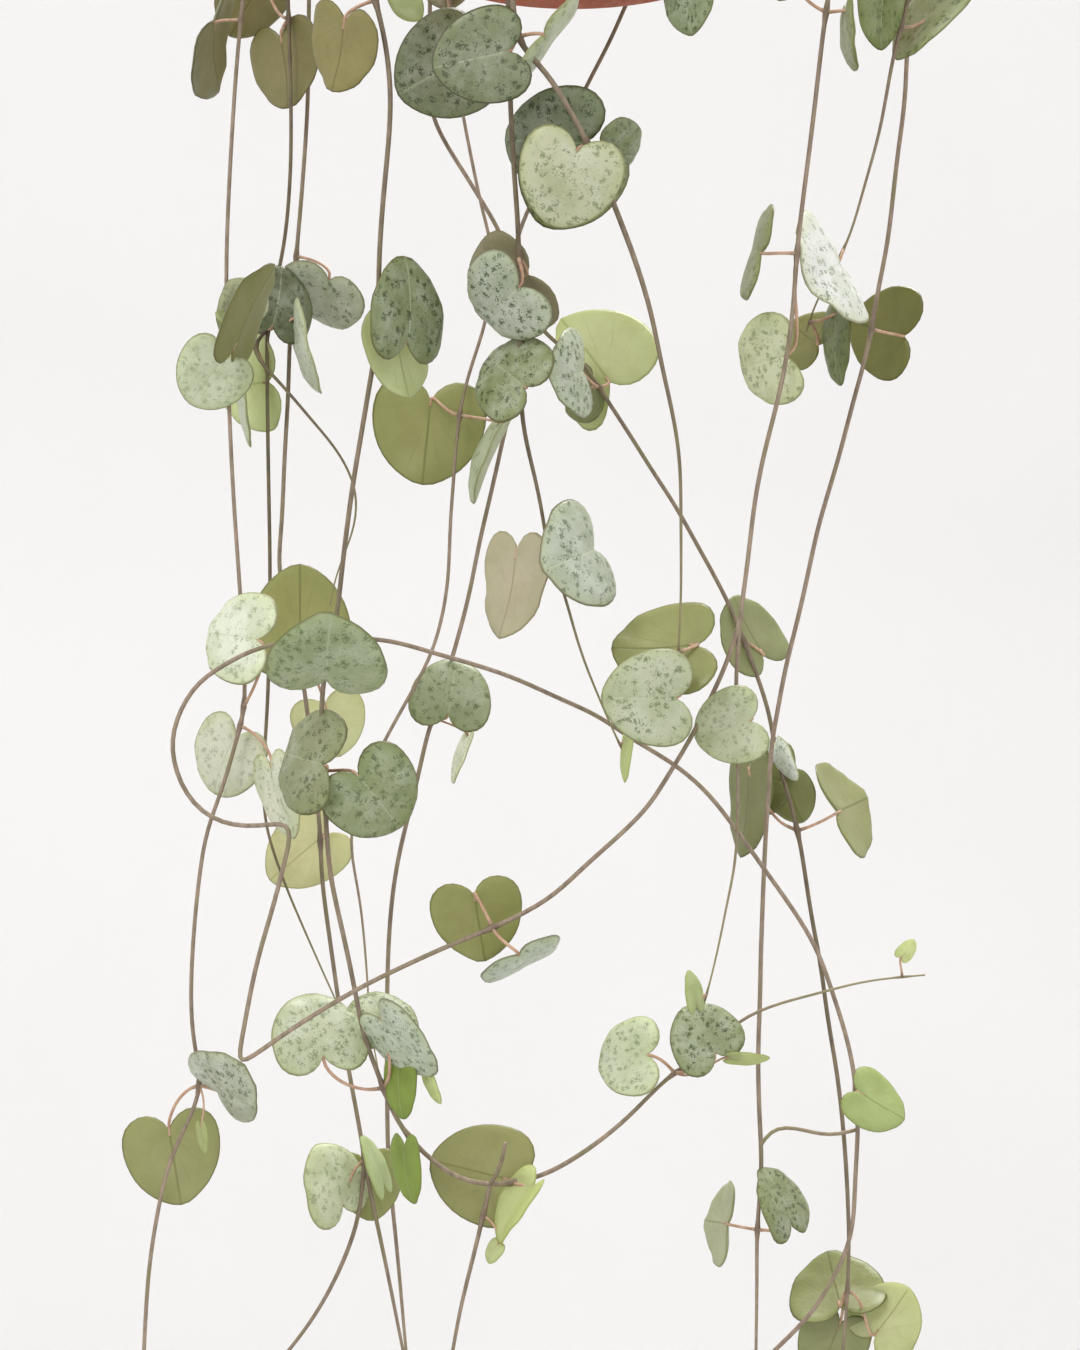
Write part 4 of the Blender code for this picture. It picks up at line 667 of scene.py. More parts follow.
def grown_pair(draw, place, tangent, outward, size, taken, stems):
    """The pair of leaves at a node of a stem, one to each side, turned until they fit."""
    across = unit(np.cross(tangent, outward))
    pair = []
    others = stems[np.linalg.norm(stems - place, axis=1) > NODE_REACH]
    for side in (1, -1):
        for _ in range(GROWTH_TRIES):
            way = unit(side * across + draw.uniform(*STALK_OUT) * outward
                       + draw.uniform(*STALK_RISE) * UP)
            notch = place + way * draw.uniform(*STALK_LENGTH) * size
            hang = draw.uniform(*(BLADE_HANG if outward[2] < 0.5 else BLADE_LIE))
            heading = unit(way + outward * draw.uniform(*BLADE_OUT) - UP * hang)
            normal = outward + np.array([draw.uniform(-BLADE_TILT, BLADE_TILT) for _ in range(3)])
            new = blade(notch, heading, normal, size * draw.uniform(*PAIR_SIZES))
            stalk = np.array(petiole_points(place, new, tangent)[1:-2])
            if fits(new, stalk, taken, others):
                taken.append((new, samples(new)))
                others = np.concatenate([others, stalk])
                pair.append((new, stalk))
                break
    return pair


def fork_point(runs, at, start):
    """The run of a stem that shows nearest to a sheet point, and the point of its path there. The
    first run is looked at from the point start on."""
    options = []
    for n, run in enumerate(runs):
        first = 0 if n else start
        k = nearest(run["path"][first:], *at) + first
        options.append((float(np.linalg.norm(sheet_place(run["path"][k]) - at)), n, k))
    _, n, k = min(options)
    return runs[n], k


def drawn_stem(spec):
    """A stem that the front drawing shows: its runs, and the leaves at their nodes."""
    drawn = eased(smooth(route_points(spec["route"]), PATH_STEP))
    shift = math.radians(spec["shift"])
    hidden = smooth(over_the_rim(spec["root"], drawn[0], shift), PATH_STEP)[:-1]
    path = hidden + drawn
    runs = [dict(path=path)]
    todo = [(path, spec["nodes"], len(hidden))]
    for branch in spec["branches"]:
        carrier, fork = fork_point(runs, branch["route"][0][:2], len(hidden))
        side = smooth(route_points(branch["route"], -carrier["path"][fork][1]), PATH_STEP)
        side = eased([carrier["path"][fork]] + side[1:])
        runs.append(dict(path=side))
        todo.append((side, branch["nodes"], 0))
    leaves = []
    for line, nodes, start in todo:
        for at, specs in nodes:
            k = nearest(line[start:], *at) + start
            tangent = unit(line[min(k + 1, len(line) - 1)] - line[max(k - 1, 0)])
            for one in specs:
                made = dict(drawn_blade(one, -line[k][1]), tone=one["tone"])
                leaves.append((line[k], tangent, made))
    return dict(name=spec["name"], runs=runs, leaves=leaves, hidden=len(hidden), shift=shift)


def plant():
    """Every leafy stem as its tubes and blades: the drawn ones, their tails, and the crown's."""
    stems = [drawn_stem(spec) for spec in STRANDS]
    taken = [(b, samples(b)) for s in stems for _, _, b in s["leaves"]]
    draw = random.Random(SEED)
    for stem in stems:
        for run in stem["runs"]:
            if run["path"][-1][2] < BOTTOM_Z:
                run["tail"] = len(run["path"]) - 1
                run["path"] += tail(draw, run["path"])
    azimuths = crown_azimuths(stems)
    for k, azimuth in enumerate(azimuths):
        stems.append(crown_stem(draw, k, azimuth))
    lines = [np.array(r["path"]) for s in stems for r in s["runs"]]
    lines += [np.array(petiole_points(p, b, t)) for s in stems for p, t, b in s["leaves"]]
    for stem in stems:
        for run in stem["runs"]:
            grow_along(draw, stem, run, taken, lines)
    return stems


def tail(draw, path):
    """The stretch of a stem below the sheet's bottom edge, with its thin growing tip."""
    way = unit(path[-1] - path[-8])
    length = draw.uniform(*TAIL_LENGTH)
    drift = np.array((draw.uniform(-TAIL_DRIFT, TAIL_DRIFT), draw.uniform(-TAIL_DRIFT, TAIL_DRIFT),
                      0))
    points = [path[-1]]
    for f in (0.33, 0.66, 1.0):
        way = unit(way * (1 - f) - UP * f + drift * math.sin(3 * f))
        points.append(points[-1] + way * length / 3)
    return smooth(points, PATH_STEP)[1:]


def crown_azimuths(stems):
    """The middles of the widest gaps between the stems that hang from the rim and the wires."""
    angles = []
    for stem in stems:
        first = stem["runs"][0]["path"][stem["hidden"]]
        angles.append((math.atan2(first[1], first[0]) + stem["shift"]) % math.tau)
    angles = sorted(angles + [math.radians(a) for a in WIRE_AZIMUTHS])
    added = []
    for _ in range(CROWN_STEMS):
        ring = angles + [angles[0] + math.tau]
        gap, start = max((b - a, a) for a, b in zip(ring, ring[1:]))
        added.append(start + gap / 2)
        angles = sorted(angles + [(start + gap / 2) % math.tau])
    return added


def crown_stem(draw, k, azimuth):
    """A short leafy stem that hangs over the rim without reaching below the pot."""
    front = 0.5 - 0.5 * math.sin(azimuth)
    length = draw.uniform(*CROWN_LENGTH) + FRONT_EXTRA * front
    reach = RIM_RADIUS + RIM_REACH
    end = np.array((reach * math.cos(azimuth), reach * math.sin(azimuth), RIM_Z - length))
    root = draw.uniform(*CROWN_ROOTS)
    path = smooth(over_the_rim(root, end), PATH_STEP)
    return dict(name=f"crown_stem_{k + 1}", runs=[dict(path=path)], leaves=[], hidden=len(path))


def grow_along(draw, stem, run, taken, lines):
    """Leaf pairs at even steps along a stem where the front drawing doesn't show it."""
    path = run["path"]
    spots = []
    if run is stem["runs"][0]:
        crest = int(np.argmax([p[2] for p in path]))
        end = stem["hidden"] - 1
        spots = [(crest + draw.randrange(*CREST_STEPS), CREST_LEAF)]
        k = crest + draw.randrange(*HIDDEN_STEPS)
        while k < end - 4:
            spots.append((k, draw.uniform(*HIDDEN_LEAVES)))
            k += round(CROWN_SPACING * draw.uniform(*HIDDEN_SPACING))
        if stem["name"].startswith("crown"):
            spots.append((len(path) - 1, END_LEAF))
    if "tail" in run:
        steps = len(path) - 1 - run["tail"]
        count = max(1, round(2 * steps / TAIL_SPACING))
        for k in range(1, count + 1):
            f = k / count
            spots.append((run["tail"] + round(f * steps),
                          TAIL_LEAVES[0] * (1 - f) + TAIL_LEAVES[1] * f))
    for k, size in spots:
        tangent = unit(path[min(k + 1, len(path) - 1)] - path[k - 1])
        outward = np.array((path[k][0], path[k][1], 0.0))
        if path[k][2] > RIM_Z + 4:
            outward = unit(outward) * 0.5 + UP * 1.2
        outward = unit(outward)
        for new, stalk in grown_pair(draw, path[k], tangent, outward, size, taken,
                                     np.concatenate(lines)):
            stem["leaves"].append((path[k], tangent, new))
            lines.append(stalk)


# Leaf colours by tone: the upper side, the underside, then how much silver, how many specks and
# how much light comes through
TONE_COLOURS = {
    "dark": ((118, 125, 92), (112, 108, 70), 0.5, 1.0, 0.15),
    "green": ((134, 145, 104), (132, 134, 88), 0.65, 1.0, 0.2),
    "sage": ((160, 169, 130), (144, 146, 102), 0.7, 0.95, 0.25),
    "pale": ((202, 208, 182), (196, 198, 162), 0.75, 0.7, 0.3),
    "mint": ((232, 236, 220), (208, 208, 180), 0.7, 0.6, 0.3),
    "silver": ((178, 184, 164), (156, 150, 120), 1.0, 0.95, 0.12),
    # The next tone's near-white upper colour is a painted highlight: glare off the waxy skin, laid over
    # the real silver
    "frost": ((240, 242, 238), (190, 192, 168), 1.0, 0.85, 0.1),
    # The next tone's darker colours are painted shade, for the top leaves that hang in the shade under
    # the pot
    "shade": ((128, 130, 88), (127, 121, 74), 0.4, 0.9, 0.1),
    "olive": ((150, 156, 118), (145, 148, 94), 0.4, 0.7, 0.25),
    "deep": ((122, 132, 76), (124, 128, 60), 0.3, 0.7, 0.15),
    "moss": ((166, 172, 130), (166, 166, 116), 0.4, 0.6, 0.35),
    "rose": ((158, 158, 132), (160, 152, 128), 0.5, 0.6, 0.25),
    "blush": ((184, 182, 156), (190, 184, 168), 0.5, 0.5, 0.35),
    "lit": ((194, 200, 164), (206, 210, 168), 0.4, 0.4, 0.5),
    "lime": ((178, 194, 124), (190, 206, 138), 0.1, 0.1, 0.4),
    "veil": ((200, 202, 172), (214, 212, 184), 0.3, 0.3, 0.5),
    "young": ((200, 210, 162), (204, 214, 166), 0.1, 0.1, 0.5),
    "sprout": ((130, 150, 62), (138, 156, 70), 0.0, 0.0, 0.4),
}
GROWN_TONES = ("green", "sage", "dark", "silver", "pale")


def linear(colour):
    """A display colour of 0 to 255 as the linear values that a shader takes."""
    values = [c / 255 for c in colour]
    return [v / 12.92 if v <= 0.04045 else ((v + 0.055) / 1.055)**2.4 for v in values]


def displayed(values):
    """The display colour of 0 to 255 of three linear values."""
    return [round(255 * (v * 12.92 if v < 0.0031 else 1.055 * v**(1 / 2.4) - 0.055))
            for v in values]


class Value:
    """A number that a node gives, with arithmetic that adds Math nodes."""

    def __init__(self, shader, socket):
        self.shader = shader
        self.socket = socket

    def _math(self, operation, *terms):
        return self.shader.add("Math", {"operation": operation}, dict(enumerate(terms)))

    def __add__(self, other):
        return self._math("ADD", self, other)

    __radd__ = __add__

    def __mul__(self, other):
        return self._math("MULTIPLY", self, other)

    __rmul__ = __mul__

    def __sub__(self, other):
        return self._math("SUBTRACT", self, other)

    def __rsub__(self, other):
        return self._math("SUBTRACT", other, self)

    def __abs__(self):
        return self._math("ABSOLUTE", self)

    def wave(self):
        """The sine."""
        return self._math("SINE", self)

    def most(self, other):
        """The larger of two."""
        return self._math("MAXIMUM", self, other)


# The colour sockets of the Mix node
MIX_FIRST, MIX_SECOND = 6, 7


class Shader:
    """A material being made: one way to add a node, and short names for the usual ones."""

    def __init__(self, name):
        self.material = bpy.data.materials.new(name)
        self.material.use_nodes = True
        self.tree = self.material.node_tree
        self.tree.nodes.clear()

    def add(self, kind, settings=None, inputs=None, output=0):
        """A node of a kind, with its settings first, then the values or links of its sockets."""
        node = self.tree.nodes.new("ShaderNode" + kind)
        for key, setting in (settings or {}).items():
            setattr(node, key, setting)
        for key, given in (inputs or {}).items():
            if isinstance(given, Value):
                self.tree.links.new(given.socket, node.inputs[key])
            else:
                node.inputs[key].default_value = given
        return Value(self, node.outputs[output])

    def attribute(self, name, output="Fac"):
        """A mesh attribute's number, or its colour."""
        return self.add("Attribute", {"attribute_name": name}, output=output)

    def place(self):
        """Object coordinates."""
        return self.add("TexCoord", output="Object")

    def scaled(self, vector, by):
        """A vector times another, axis by axis."""
        return self.add("VectorMath", {"operation": "MULTIPLY"}, {0: vector, 1: by})

    def moved(self, vector, by):
        """A vector plus another."""
        return self.add("VectorMath", {"operation": "ADD"}, {0: vector, 1: by})

    def cloud(self, vector, scale, detail=3.0, rough=0.5, output=0):
        """Noise, from 0 to 1, or its colour."""
        return self.add("TexNoise", {}, {"Vector": vector, "Scale": scale, "Detail": detail,
                                         "Roughness": rough}, output)

    def cells(self, vector, scale, output=0):
        """The distance to the nearest of scattered points, or a colour for each."""
        return self.add("TexVoronoi", {}, {"Vector": vector, "Scale": scale}, output)

    def step(self, value, low, high, out_low=0.0, out_high=1.0):
        """A smooth step of a value between two limits."""
        settings = {"interpolation_type": "SMOOTHSTEP"}
        return self.add("MapRange", settings, {"Value": value, "From Min": low, "From Max": high,
                                               "To Min": out_low, "To Max": out_high})

    def mix(self, factor, first, second, blend="MIX"):
        """A mix of two colours."""
        settings = {"data_type": "RGBA", "blend_type": blend}
        return self.add("Mix", settings, {0: factor, MIX_FIRST: first, MIX_SECOND: second},
                        output=2)

    def tinted(self, tint, colour):
        """A colour multiplied by a display colour."""
        return self.mix(1.0, tint, rgba(colour), "MULTIPLY")

    def bump(self, height, strength, distance):
        """A normal from a height."""
        return self.add("Bump", {}, {"Height": height, "Strength": strength,
                                     "Distance": distance})

    def principled(self, inputs):
        """A Principled shader."""
        return self.add("BsdfPrincipled", {}, inputs)

    def finish(self, surface):
        """Joins the shader to the material's output."""
        node = self.tree.nodes.new("ShaderNodeOutputMaterial")
        self.tree.links.new(surface.socket, node.inputs["Surface"])
        return self.material


def rgba(colour, factor=1.0):
    """A display colour as a socket's four numbers."""
    return (*[c * factor for c in linear(colour)], 1)


def speck_mask(s, flat, grain, density):
    """Where dark specks lie: small broken clusters with solid cores, and patches of fine dust."""
    wander = s.cloud(flat, 6.0, 2.0, output=1)
    loose = s.moved(flat, s.scaled(wander, (0.12, 0.12, 0)))
    spot = s.cells(loose, density)
    chosen = s.add("SeparateColor", {}, {0: s.cells(loose, density, output=1)})
    cluster = s.step(spot, 0.56, 0.4) * s.step(grain, 0.49, 0.53) * s.step(chosen, 0.34, 0.4)
    core = s.step(spot, 0.26, 0.18) * s.step(chosen, 0.4, 0.46)
    dust = s.step(s.cells(loose, density * 2.6), 0.34, 0.22)
    dust = dust * s.step(s.cloud(flat, 7.0, 3.0), 0.44, 0.54) * s.step(grain, 0.42, 0.48) * 0.85
    return cluster.most(core).most(dust)


def vein_mask(s, flat, across, along, rim):
    """Where the veins run: the midrib, and pairs that leave it near the notch and arch outwards."""
    side = abs(across)
    midrib = s.step(side, 0.016, 0.004)
    angle = s.add("Math", {"operation": "ARCTAN2"}, {0: along, 1: side + 0.02})
    fan = abs((angle * 9 + side * 2 + s.cloud(flat, 4, 2.0)).wave())
    arches = s.step(fan, 0.14, 0.02) * s.step(side, 0.0, 0.08) * s.step(rim, 0.98, 0.5)
    return midrib.most(arches * 0.4)


def leaf_material(settings):
    """Waxy leaf skin: silver green with dark specks above, plain olive to rose beneath."""
    s = Shader("leaf_skin")
    tint = s.attribute("tint", "Color")
    upper = s.attribute("upper")
    rim = s.attribute("rim")
    silver = s.attribute("silver")
    across = s.attribute("across")
    along = s.attribute("along")
    flat = s.add("CombineXYZ", {}, {0: across, 1: along, 2: s.attribute("pick") * 37})
    grain = s.cloud(flat, 55, 2.0, 0.6)
    dark = speck_mask(s, flat, grain, settings.speck_density) * s.attribute("specks") * upper
    # Silver lies in soft patches and fine grains between the specks
    patches = s.cloud(s.moved(flat, (5.2, 1.3, 7.7)), 4.0, 4.0, 0.6)
    grains = s.step(s.cloud(flat, 90, 1.0), 0.52, 0.66) * 0.5
    bright = (s.step(patches, 0.38, 0.7) * (grains + 0.5)) * silver * upper
    veins = vein_mask(s, flat, across, along, rim)
    # The upper side: darker pools, silver, pale veins and a paler zone near the rim
    pool = s.step(s.cloud(s.moved(flat, (9.1, 4.4, 2.6)), 2.6, 3.0), 0.42, 0.64)
    colour = s.mix(pool * upper * 0.5, tint, s.tinted(tint, (206, 214, 186)))
    colour = s.mix(bright * 0.62, colour, rgba((226, 232, 222)))
    colour = s.mix(veins * upper * 0.35, colour, rgba((196, 204, 172)))
    zone = s.step(rim, 0.7, 0.97) * upper
    colour = s.mix(zone * 0.45, colour, s.tinted(tint, (240, 246, 206)))
    colour = s.mix(dark * 0.95, colour, s.tinted(tint, (122, 140, 104)))
    # The underside: darker veins, a faded mottle, and greener towards the rim
    under = 1 - upper
    colour = s.mix(veins * under * 0.75, colour, s.tinted(tint, (176, 180, 142)))
    mottle = s.cloud(flat, 3.0, 4.0, 0.65)
    faded = s.tinted(tint, (222, 216, 200))
    colour = s.mix(under * s.step(mottle, 0.4, 0.7) * 0.5, colour, faded)
    greener = s.tinted(tint, (214, 226, 180))
    colour = s.mix(under * s.step(rim, 0.2, 0.95) * 0.25, colour, greener)
    edge = s.step(rim, 0.945, 0.99)
    colour = s.mix(edge * 0.6, colour, s.tinted(tint, (172, 172, 128)))
    rough = s.step(patches, 0.3, 0.7, 0.4, 0.5) + under * 0.06
    height = patches * 1.2 + grain * 0.1 - veins * 0.3
    normal = s.bump(height, 0.3, 0.0012)
    skin = s.principled({"Base Color": colour, "Roughness": rough, "Normal": normal,
                         "Coat Weight": 0.3, "Coat Roughness": 0.3, "IOR": 1.5})
    through = s.add("BsdfTranslucent", {}, {"Color": s.mix(0.55, colour, rgba((236, 240, 190)))})
    share = s.attribute("glow") * settings.translucency
    return s.finish(s.add("MixShader", {}, {0: share, 1: skin, 2: through}))


def vine_material():
    """Wiry brown-grey stem bark, redder on the leaf stalks and darker at the swollen joints."""
    s = Shader("vine_bark")
    stalk = s.attribute("stalk")
    young = s.attribute("young")
    joint = s.attribute("joint")
    place = s.place()
    streaks = s.cloud(s.scaled(place, (900, 900, 260)), 1.0, 4.0, 0.65)
    patches = s.cloud(place, 120, 3.0)
    shade = s.attribute("shade")
    dark_bark = s.mix(s.step(streaks, 0.3, 0.7), rgba((82, 72, 52)), rgba((112, 100, 74)))
    pale_bark = s.mix(s.step(streaks, 0.3, 0.7), rgba((122, 106, 90)), rgba((158, 140, 122)))
    drift = s.step(shade + s.cloud(place, 22, 2.0) * 0.8 - 0.4, 0.1, 0.9)
    colour = s.mix(drift, pale_bark, dark_bark)
    colour = s.mix(s.step(patches, 0.5, 0.72) * 0.6, colour, rgba((116, 114, 72)))
    stalk_colour = s.mix(s.step(streaks, 0.3, 0.7), rgba((166, 128, 104)), rgba((196, 164, 138)))
    colour = s.mix(stalk, colour, stalk_colour)
    colour = s.mix(young * 0.6, colour, rgba((140, 138, 86)))
    colour = s.mix(joint * 0.55, colour, rgba((92, 72, 56)))
    normal = s.bump(streaks, 0.5, 0.0003)
    bark = s.principled({"Base Color": colour, "Roughness": s.step(streaks, 0.2, 0.8, 0.5, 0.75),
                         "Normal": normal})
    return s.finish(bark)


def clay_material():
    """Unglazed terracotta: fired clay with fine grit, faint turning rings and pale mineral bloom."""
    s = Shader("terracotta_clay")
    place = s.place()
    grit = s.cloud(place, 900, 4.0, 0.7)
    clouds = s.cloud(place, 26, 5.0, 0.6)
    bloom_shape = s.cloud(s.moved(place, (3.3, 1.7, 0.4)), 38, 6.0, 0.7)
    depth = s.add("SeparateXYZ", {}, {0: place}, output=2)
    rings = s.cloud(s.scaled(place, (4, 4, 420)), 1.0, 3.0, 0.6)
    colour = s.mix(s.step(clouds, 0.3, 0.7), rgba((150, 74, 48)), rgba((170, 90, 60)))
    colour = s.mix(s.step(grit, 0.35, 0.65) * 0.3, colour, rgba((132, 62, 42)))
    low = s.step(depth, BASE_Z * MM + 0.03, BASE_Z * MM + 0.004)
    high = s.step(depth, (RIM_Z - 14) * MM, (RIM_Z - 2) * MM)
    bloom = s.step(bloom_shape, 0.52, 0.74) * (low.most(high) * 0.5 + 0.22)
    colour = s.mix(bloom, colour, rgba((206, 172, 150)))
    height = grit * 0.5 + rings * 0.8
    normal = s.bump(height, 0.4, 0.0006)
    clay = s.principled({"Base Color": colour, "Normal": normal,
                         "Roughness": s.step(grit, 0.2, 0.8, 0.72, 0.92)})
    return s.finish(clay)


def soil_material():
    """Dark potting mix with crumbs."""
    s = Shader("potting_mix")
    place = s.place()
    crumbs = s.cells(place, 420, output=1)
    shade = s.add("SeparateColor", {}, {0: crumbs})
    fine = s.cloud(place, 700, 5.0, 0.7)
    colour = s.mix(shade, rgba((38, 27, 20)), rgba((84, 62, 46)))
    colour = s.mix(s.step(fine, 0.4, 0.7) * 0.5, colour, rgba((56, 42, 32)))
    normal = s.bump(fine, 0.9, 0.0012)
    return s.finish(s.principled({"Base Color": colour, "Roughness": 0.95, "Normal": normal}))


def grit_material():
    """Pale porous grit in the potting mix."""
    s = Shader("pale_grit")
    pores = s.cloud(s.place(), 1500, 4.0, 0.7)
    colour = s.mix(s.step(pores, 0.35, 0.65), rgba((176, 168, 154)), rgba((226, 222, 212)))
    normal = s.bump(pores, 0.8, 0.0006)
    return s.finish(s.principled({"Base Color": colour, "Roughness": 0.9, "Normal": normal}))


def wire_material():
    """Galvanised wire with dull spangle and faint drawing lines."""
    s = Shader("galvanised_steel")
    place = s.place()
    spangle = s.cells(place, 300, output=1)
    shade = s.add("SeparateColor", {}, {0: spangle})
    lines = s.cloud(s.scaled(place, (2600, 2600, 60)), 1.0, 3.0, 0.6)
    colour = s.mix(s.step(shade, 0.1, 0.9), rgba((150, 152, 154)), rgba((182, 184, 186)))
    colour = s.mix(s.step(lines, 0.55, 0.8) * 0.4, colour, rgba((122, 122, 122)))
    rough = s.step(lines, 0.2, 0.8, 0.32, 0.5)
    normal = s.bump(lines, 0.25, 0.0002)
    return s.finish(s.principled({"Base Color": colour, "Metallic": 0.9, "Roughness": rough,
                                  "Normal": normal}))


def paint_material(colour):
    """Plain matt pale paint for the floor and the wall."""
    s = Shader("pale_paint")
    tone = s.cloud(s.place(), 2.0, 2.0)
    shade = s.mix(s.step(tone, 0.2, 0.8), rgba(colour), rgba(colour, 0.97))
    return s.finish(s.principled({"Base Color": shade, "Roughness": 0.9}))


def add_object(name, bm, *materials):
    """An object from a bmesh, shaded smooth, with its materials."""
    mesh = bpy.data.meshes.new(name)
    bm.to_mesh(mesh)
    bm.free()
    made = bpy.data.objects.new(name, mesh)
    bpy.context.scene.collection.objects.link(made)
    for one in materials:
        mesh.materials.append(one)
    mesh.shade_smooth()
    return made


def outwards(bm):
    """Turns a closed bmesh's faces outwards."""
    bmesh.ops.recalc_face_normals(bm, faces=bm.faces)
    if bm.calc_volume(signed=True) < 0:
        bmesh.ops.reverse_faces(bm, faces=bm.faces)


def merge_into(bm, part):
    """Adds a bmesh's geometry to another, with its layers, and frees it."""
    mesh = bpy.data.meshes.new("passing")
    part.to_mesh(mesh)
    part.free()
    bm.from_mesh(mesh)
    bpy.data.meshes.remove(mesh)


VINE_LAYERS = ("stalk", "young", "joint", "shade")
LEAF_LAYERS = ("upper", "rim", "silver", "specks", "across", "along", "pick", "glow")
LEAF_SHAPES = {}


def round_wire(points, radii, sides, marks=None):
    """A bmesh of a round tube along points, from a grid rolled up round them, with closed ends."""
    points = [np.asarray(p, float) for p in points]
    count = len(points)
    bm = bmesh.new()
    bmesh.ops.create_grid(bm, x_segments=count - 1, y_segments=sides, size=1)
    layers = {name: bm.verts.layers.float.new(name) for name in (marks or {})}
    steps = [unit(b - a) for a, b in zip(points, points[1:])]
    tangents = [steps[0]] + [unit(a + b) for a, b in zip(steps, steps[1:])] + [steps[-1]]
    frames = [unit(np.cross(tangents[0], OFF_AXIS))]
    for tangent in tangents[1:]:
        frames.append(unit(frames[-1] - np.dot(frames[-1], tangent) * tangent))
    for vert in bm.verts:
        i = round((vert.co.x + 1) / 2 * (count - 1))
        angle = (vert.co.y + 1) * math.pi
        across = frames[i] * math.cos(angle) + np.cross(tangents[i], frames[i]) * math.sin(angle)
        vert.co = Vector((points[i] + across * radii[i]) * MM)
        for name, layer in layers.items():
            vert[layer] = marks[name][i]
    bmesh.ops.remove_doubles(bm, verts=bm.verts, dist=WELD)
    bmesh.ops.holes_fill(bm, edges=bm.edges, sides=sides)
    outwards(bm)
    return bm


def leaf_solid(leaf_blade, tone, around, rings, thickness, draw):
    """A bmesh of one leaf blade: a sphere flattened and drawn out to its outline, then curved."""
    shape, places = LEAF_SHAPES[around, rings]
    bm = bmesh.new()
    bm.from_mesh(shape)
    upper_colour = jittered(draw, tone[0])
    under_colour = jittered(draw, tone[1])
    layers = {name: bm.verts.layers.float[name] for name in ("silver", "specks", "pick", "glow")}
    tint = bm.verts.layers.float_color.new("tint")
    upper = bm.verts.layers.float["upper"]
    pick = draw.random()
    silver = tone[2] * draw.uniform(*GROWTH_SPREAD)
    specks = tone[3] * draw.uniform(*GROWTH_SPREAD)
    width = leaf_blade["width"]
    a, b, rim, height = places.T
    phase = draw.uniform(0, math.tau)
    angle = np.arctan2(a, b - BLADE_CENTRE)
    ripple = WAVE * np.sin(angle * 5 + phase) * rim**3 + FRILL * np.sin(angle * 9 - phase) * rim**4
    lift = blade_height(np.abs(a), b, leaf_blade["fold"]) + ripple
    crease = np.sqrt(a * a + CREASE_ROUNDING) - np.abs(a)
    lift = lift + leaf_blade["fold"] * crease
    scale = min(1.0, THIN_SMALL[0] + width / THIN_SMALL[1])
    above = height * thickness * scale
    co = (leaf_blade["notch"] + np.outer(a * width, leaf_blade["side"])
          + np.outer(b * width * leaf_blade["stretch"], leaf_blade["heading"])
          + np.outer(lift * width + above, leaf_blade["normal"])) * MM
    for vert, place in zip(bm.verts, co):
        vert.co = place
        share = vert[upper]
        colour = [u * share + v * (1 - share) for u, v in zip(upper_colour, under_colour)]
        vert[tint] = (*colour, 1)
        vert[layers["silver"]] = silver
        vert[layers["specks"]] = specks
        vert[layers["pick"]] = pick
        vert[layers["glow"]] = tone[4]
    return bm


def jittered(draw, colour):
    """A linear colour a little off a display colour."""
    light = draw.uniform(*LEAF_LIGHTS)
    warm = draw.uniform(-LEAF_WARMTH, LEAF_WARMTH)
    return linear([min(255, c * light + w) for c, w in zip(colour, (warm, 0, -warm))])


def make_leaf_shape(around, rings):
    """Draws a sphere out to the leaf outline once, and keeps it with its places on the blade."""
    ring = outline(around // 2)
    bm = bmesh.new()
    bmesh.ops.create_uvsphere(bm, u_segments=around, v_segments=rings, radius=1)
    layers = {name: bm.verts.layers.float.new(name) for name in LEAF_LAYERS}
    places = []
    for vert in bm.verts:
        flat = vert.co.xy.length
        turn = math.atan2(vert.co.y, vert.co.x) / math.tau * len(ring)
        edge = ring[round(turn) % len(ring)]
        rim = min(1.0, flat)
        a = edge[0] * rim
        b = BLADE_CENTRE + (edge[1] - BLADE_CENTRE) * rim
        height = 0.5 * math.copysign(math.sqrt(max(0.0, 1 - rim**RIM_FULLNESS)), vert.co.z)
        if abs(vert.co.z) < SEAM:
            height = 0.0
        vert[layers["upper"]] = 1.0 if vert.co.z > SEAM else 0.0
        vert[layers["rim"]] = rim
        vert[layers["across"]] = a
        vert[layers["along"]] = b
        places.append((a, b, rim, height))
        vert.co = (a, b, height * 0.05)
    shape = bpy.data.meshes.new("leaf_shape")
    bm.to_mesh(shape)
    bm.free()
    LEAF_SHAPES[around, rings] = (shape, np.array(places))


def vine_radii(stem, run, settings):
    """A stem run's radius at each point, its share of young growth and of its swollen joints."""
    path = np.array(run["path"])
    count = len(path)
    length = np.concatenate(([0], np.cumsum(np.linalg.norm(np.diff(path, axis=0), axis=1))))
    left = length[-1] - length
    growing = min(1.0, length[-1] / TIP_LENGTH)
    slim = growing * TIP_SLIMMING * (1 - np.clip(left / TIP_LENGTH, 0, 1))
    radii = settings.stem_thickness / MM / 2 * (1 - slim)
    joint = np.zeros(count)
    for place in {tuple(np.round(p, 3)) for p, _, _ in stem["leaves"]}:
        gap = np.linalg.norm(path - np.array(place), axis=1)
        joint = np.maximum(joint, np.exp(-(gap / JOINT_LENGTH)**2))
    radii = radii * (1 + JOINT_SWELLING * joint)
    return radii, growing * (1 - np.clip(left / YOUNG_LENGTH, 0, 1)), joint


def stalk_bmesh(place, tangent, leaf_blade, shade, settings):
    """A leaf stalk: stout at the stem, and thinner on its way to the blade."""
    points = smooth(petiole_points(place, leaf_blade, tangent), STALK_STEP)
    share = np.linspace(0, 1, len(points))
    size = min(1.0, STALK_SMALL[0] + leaf_blade["width"] / STALK_SMALL[1])
    foot, taper, reach = STALK_TAPER
    radii = settings.stalk_thickness / MM / 2 * size * (
        foot - taper * np.clip(share * reach, 0, 1))
    marks = {"stalk": np.clip(share * STALK_CHANGE, 0, 1), "young": np.zeros_like(share),
             "joint": np.clip(0.5 - share * STALK_CHANGE, 0, 1), "shade": np.full_like(share, shade)}
    return round_wire(points, radii, STALK_SIDES, marks)


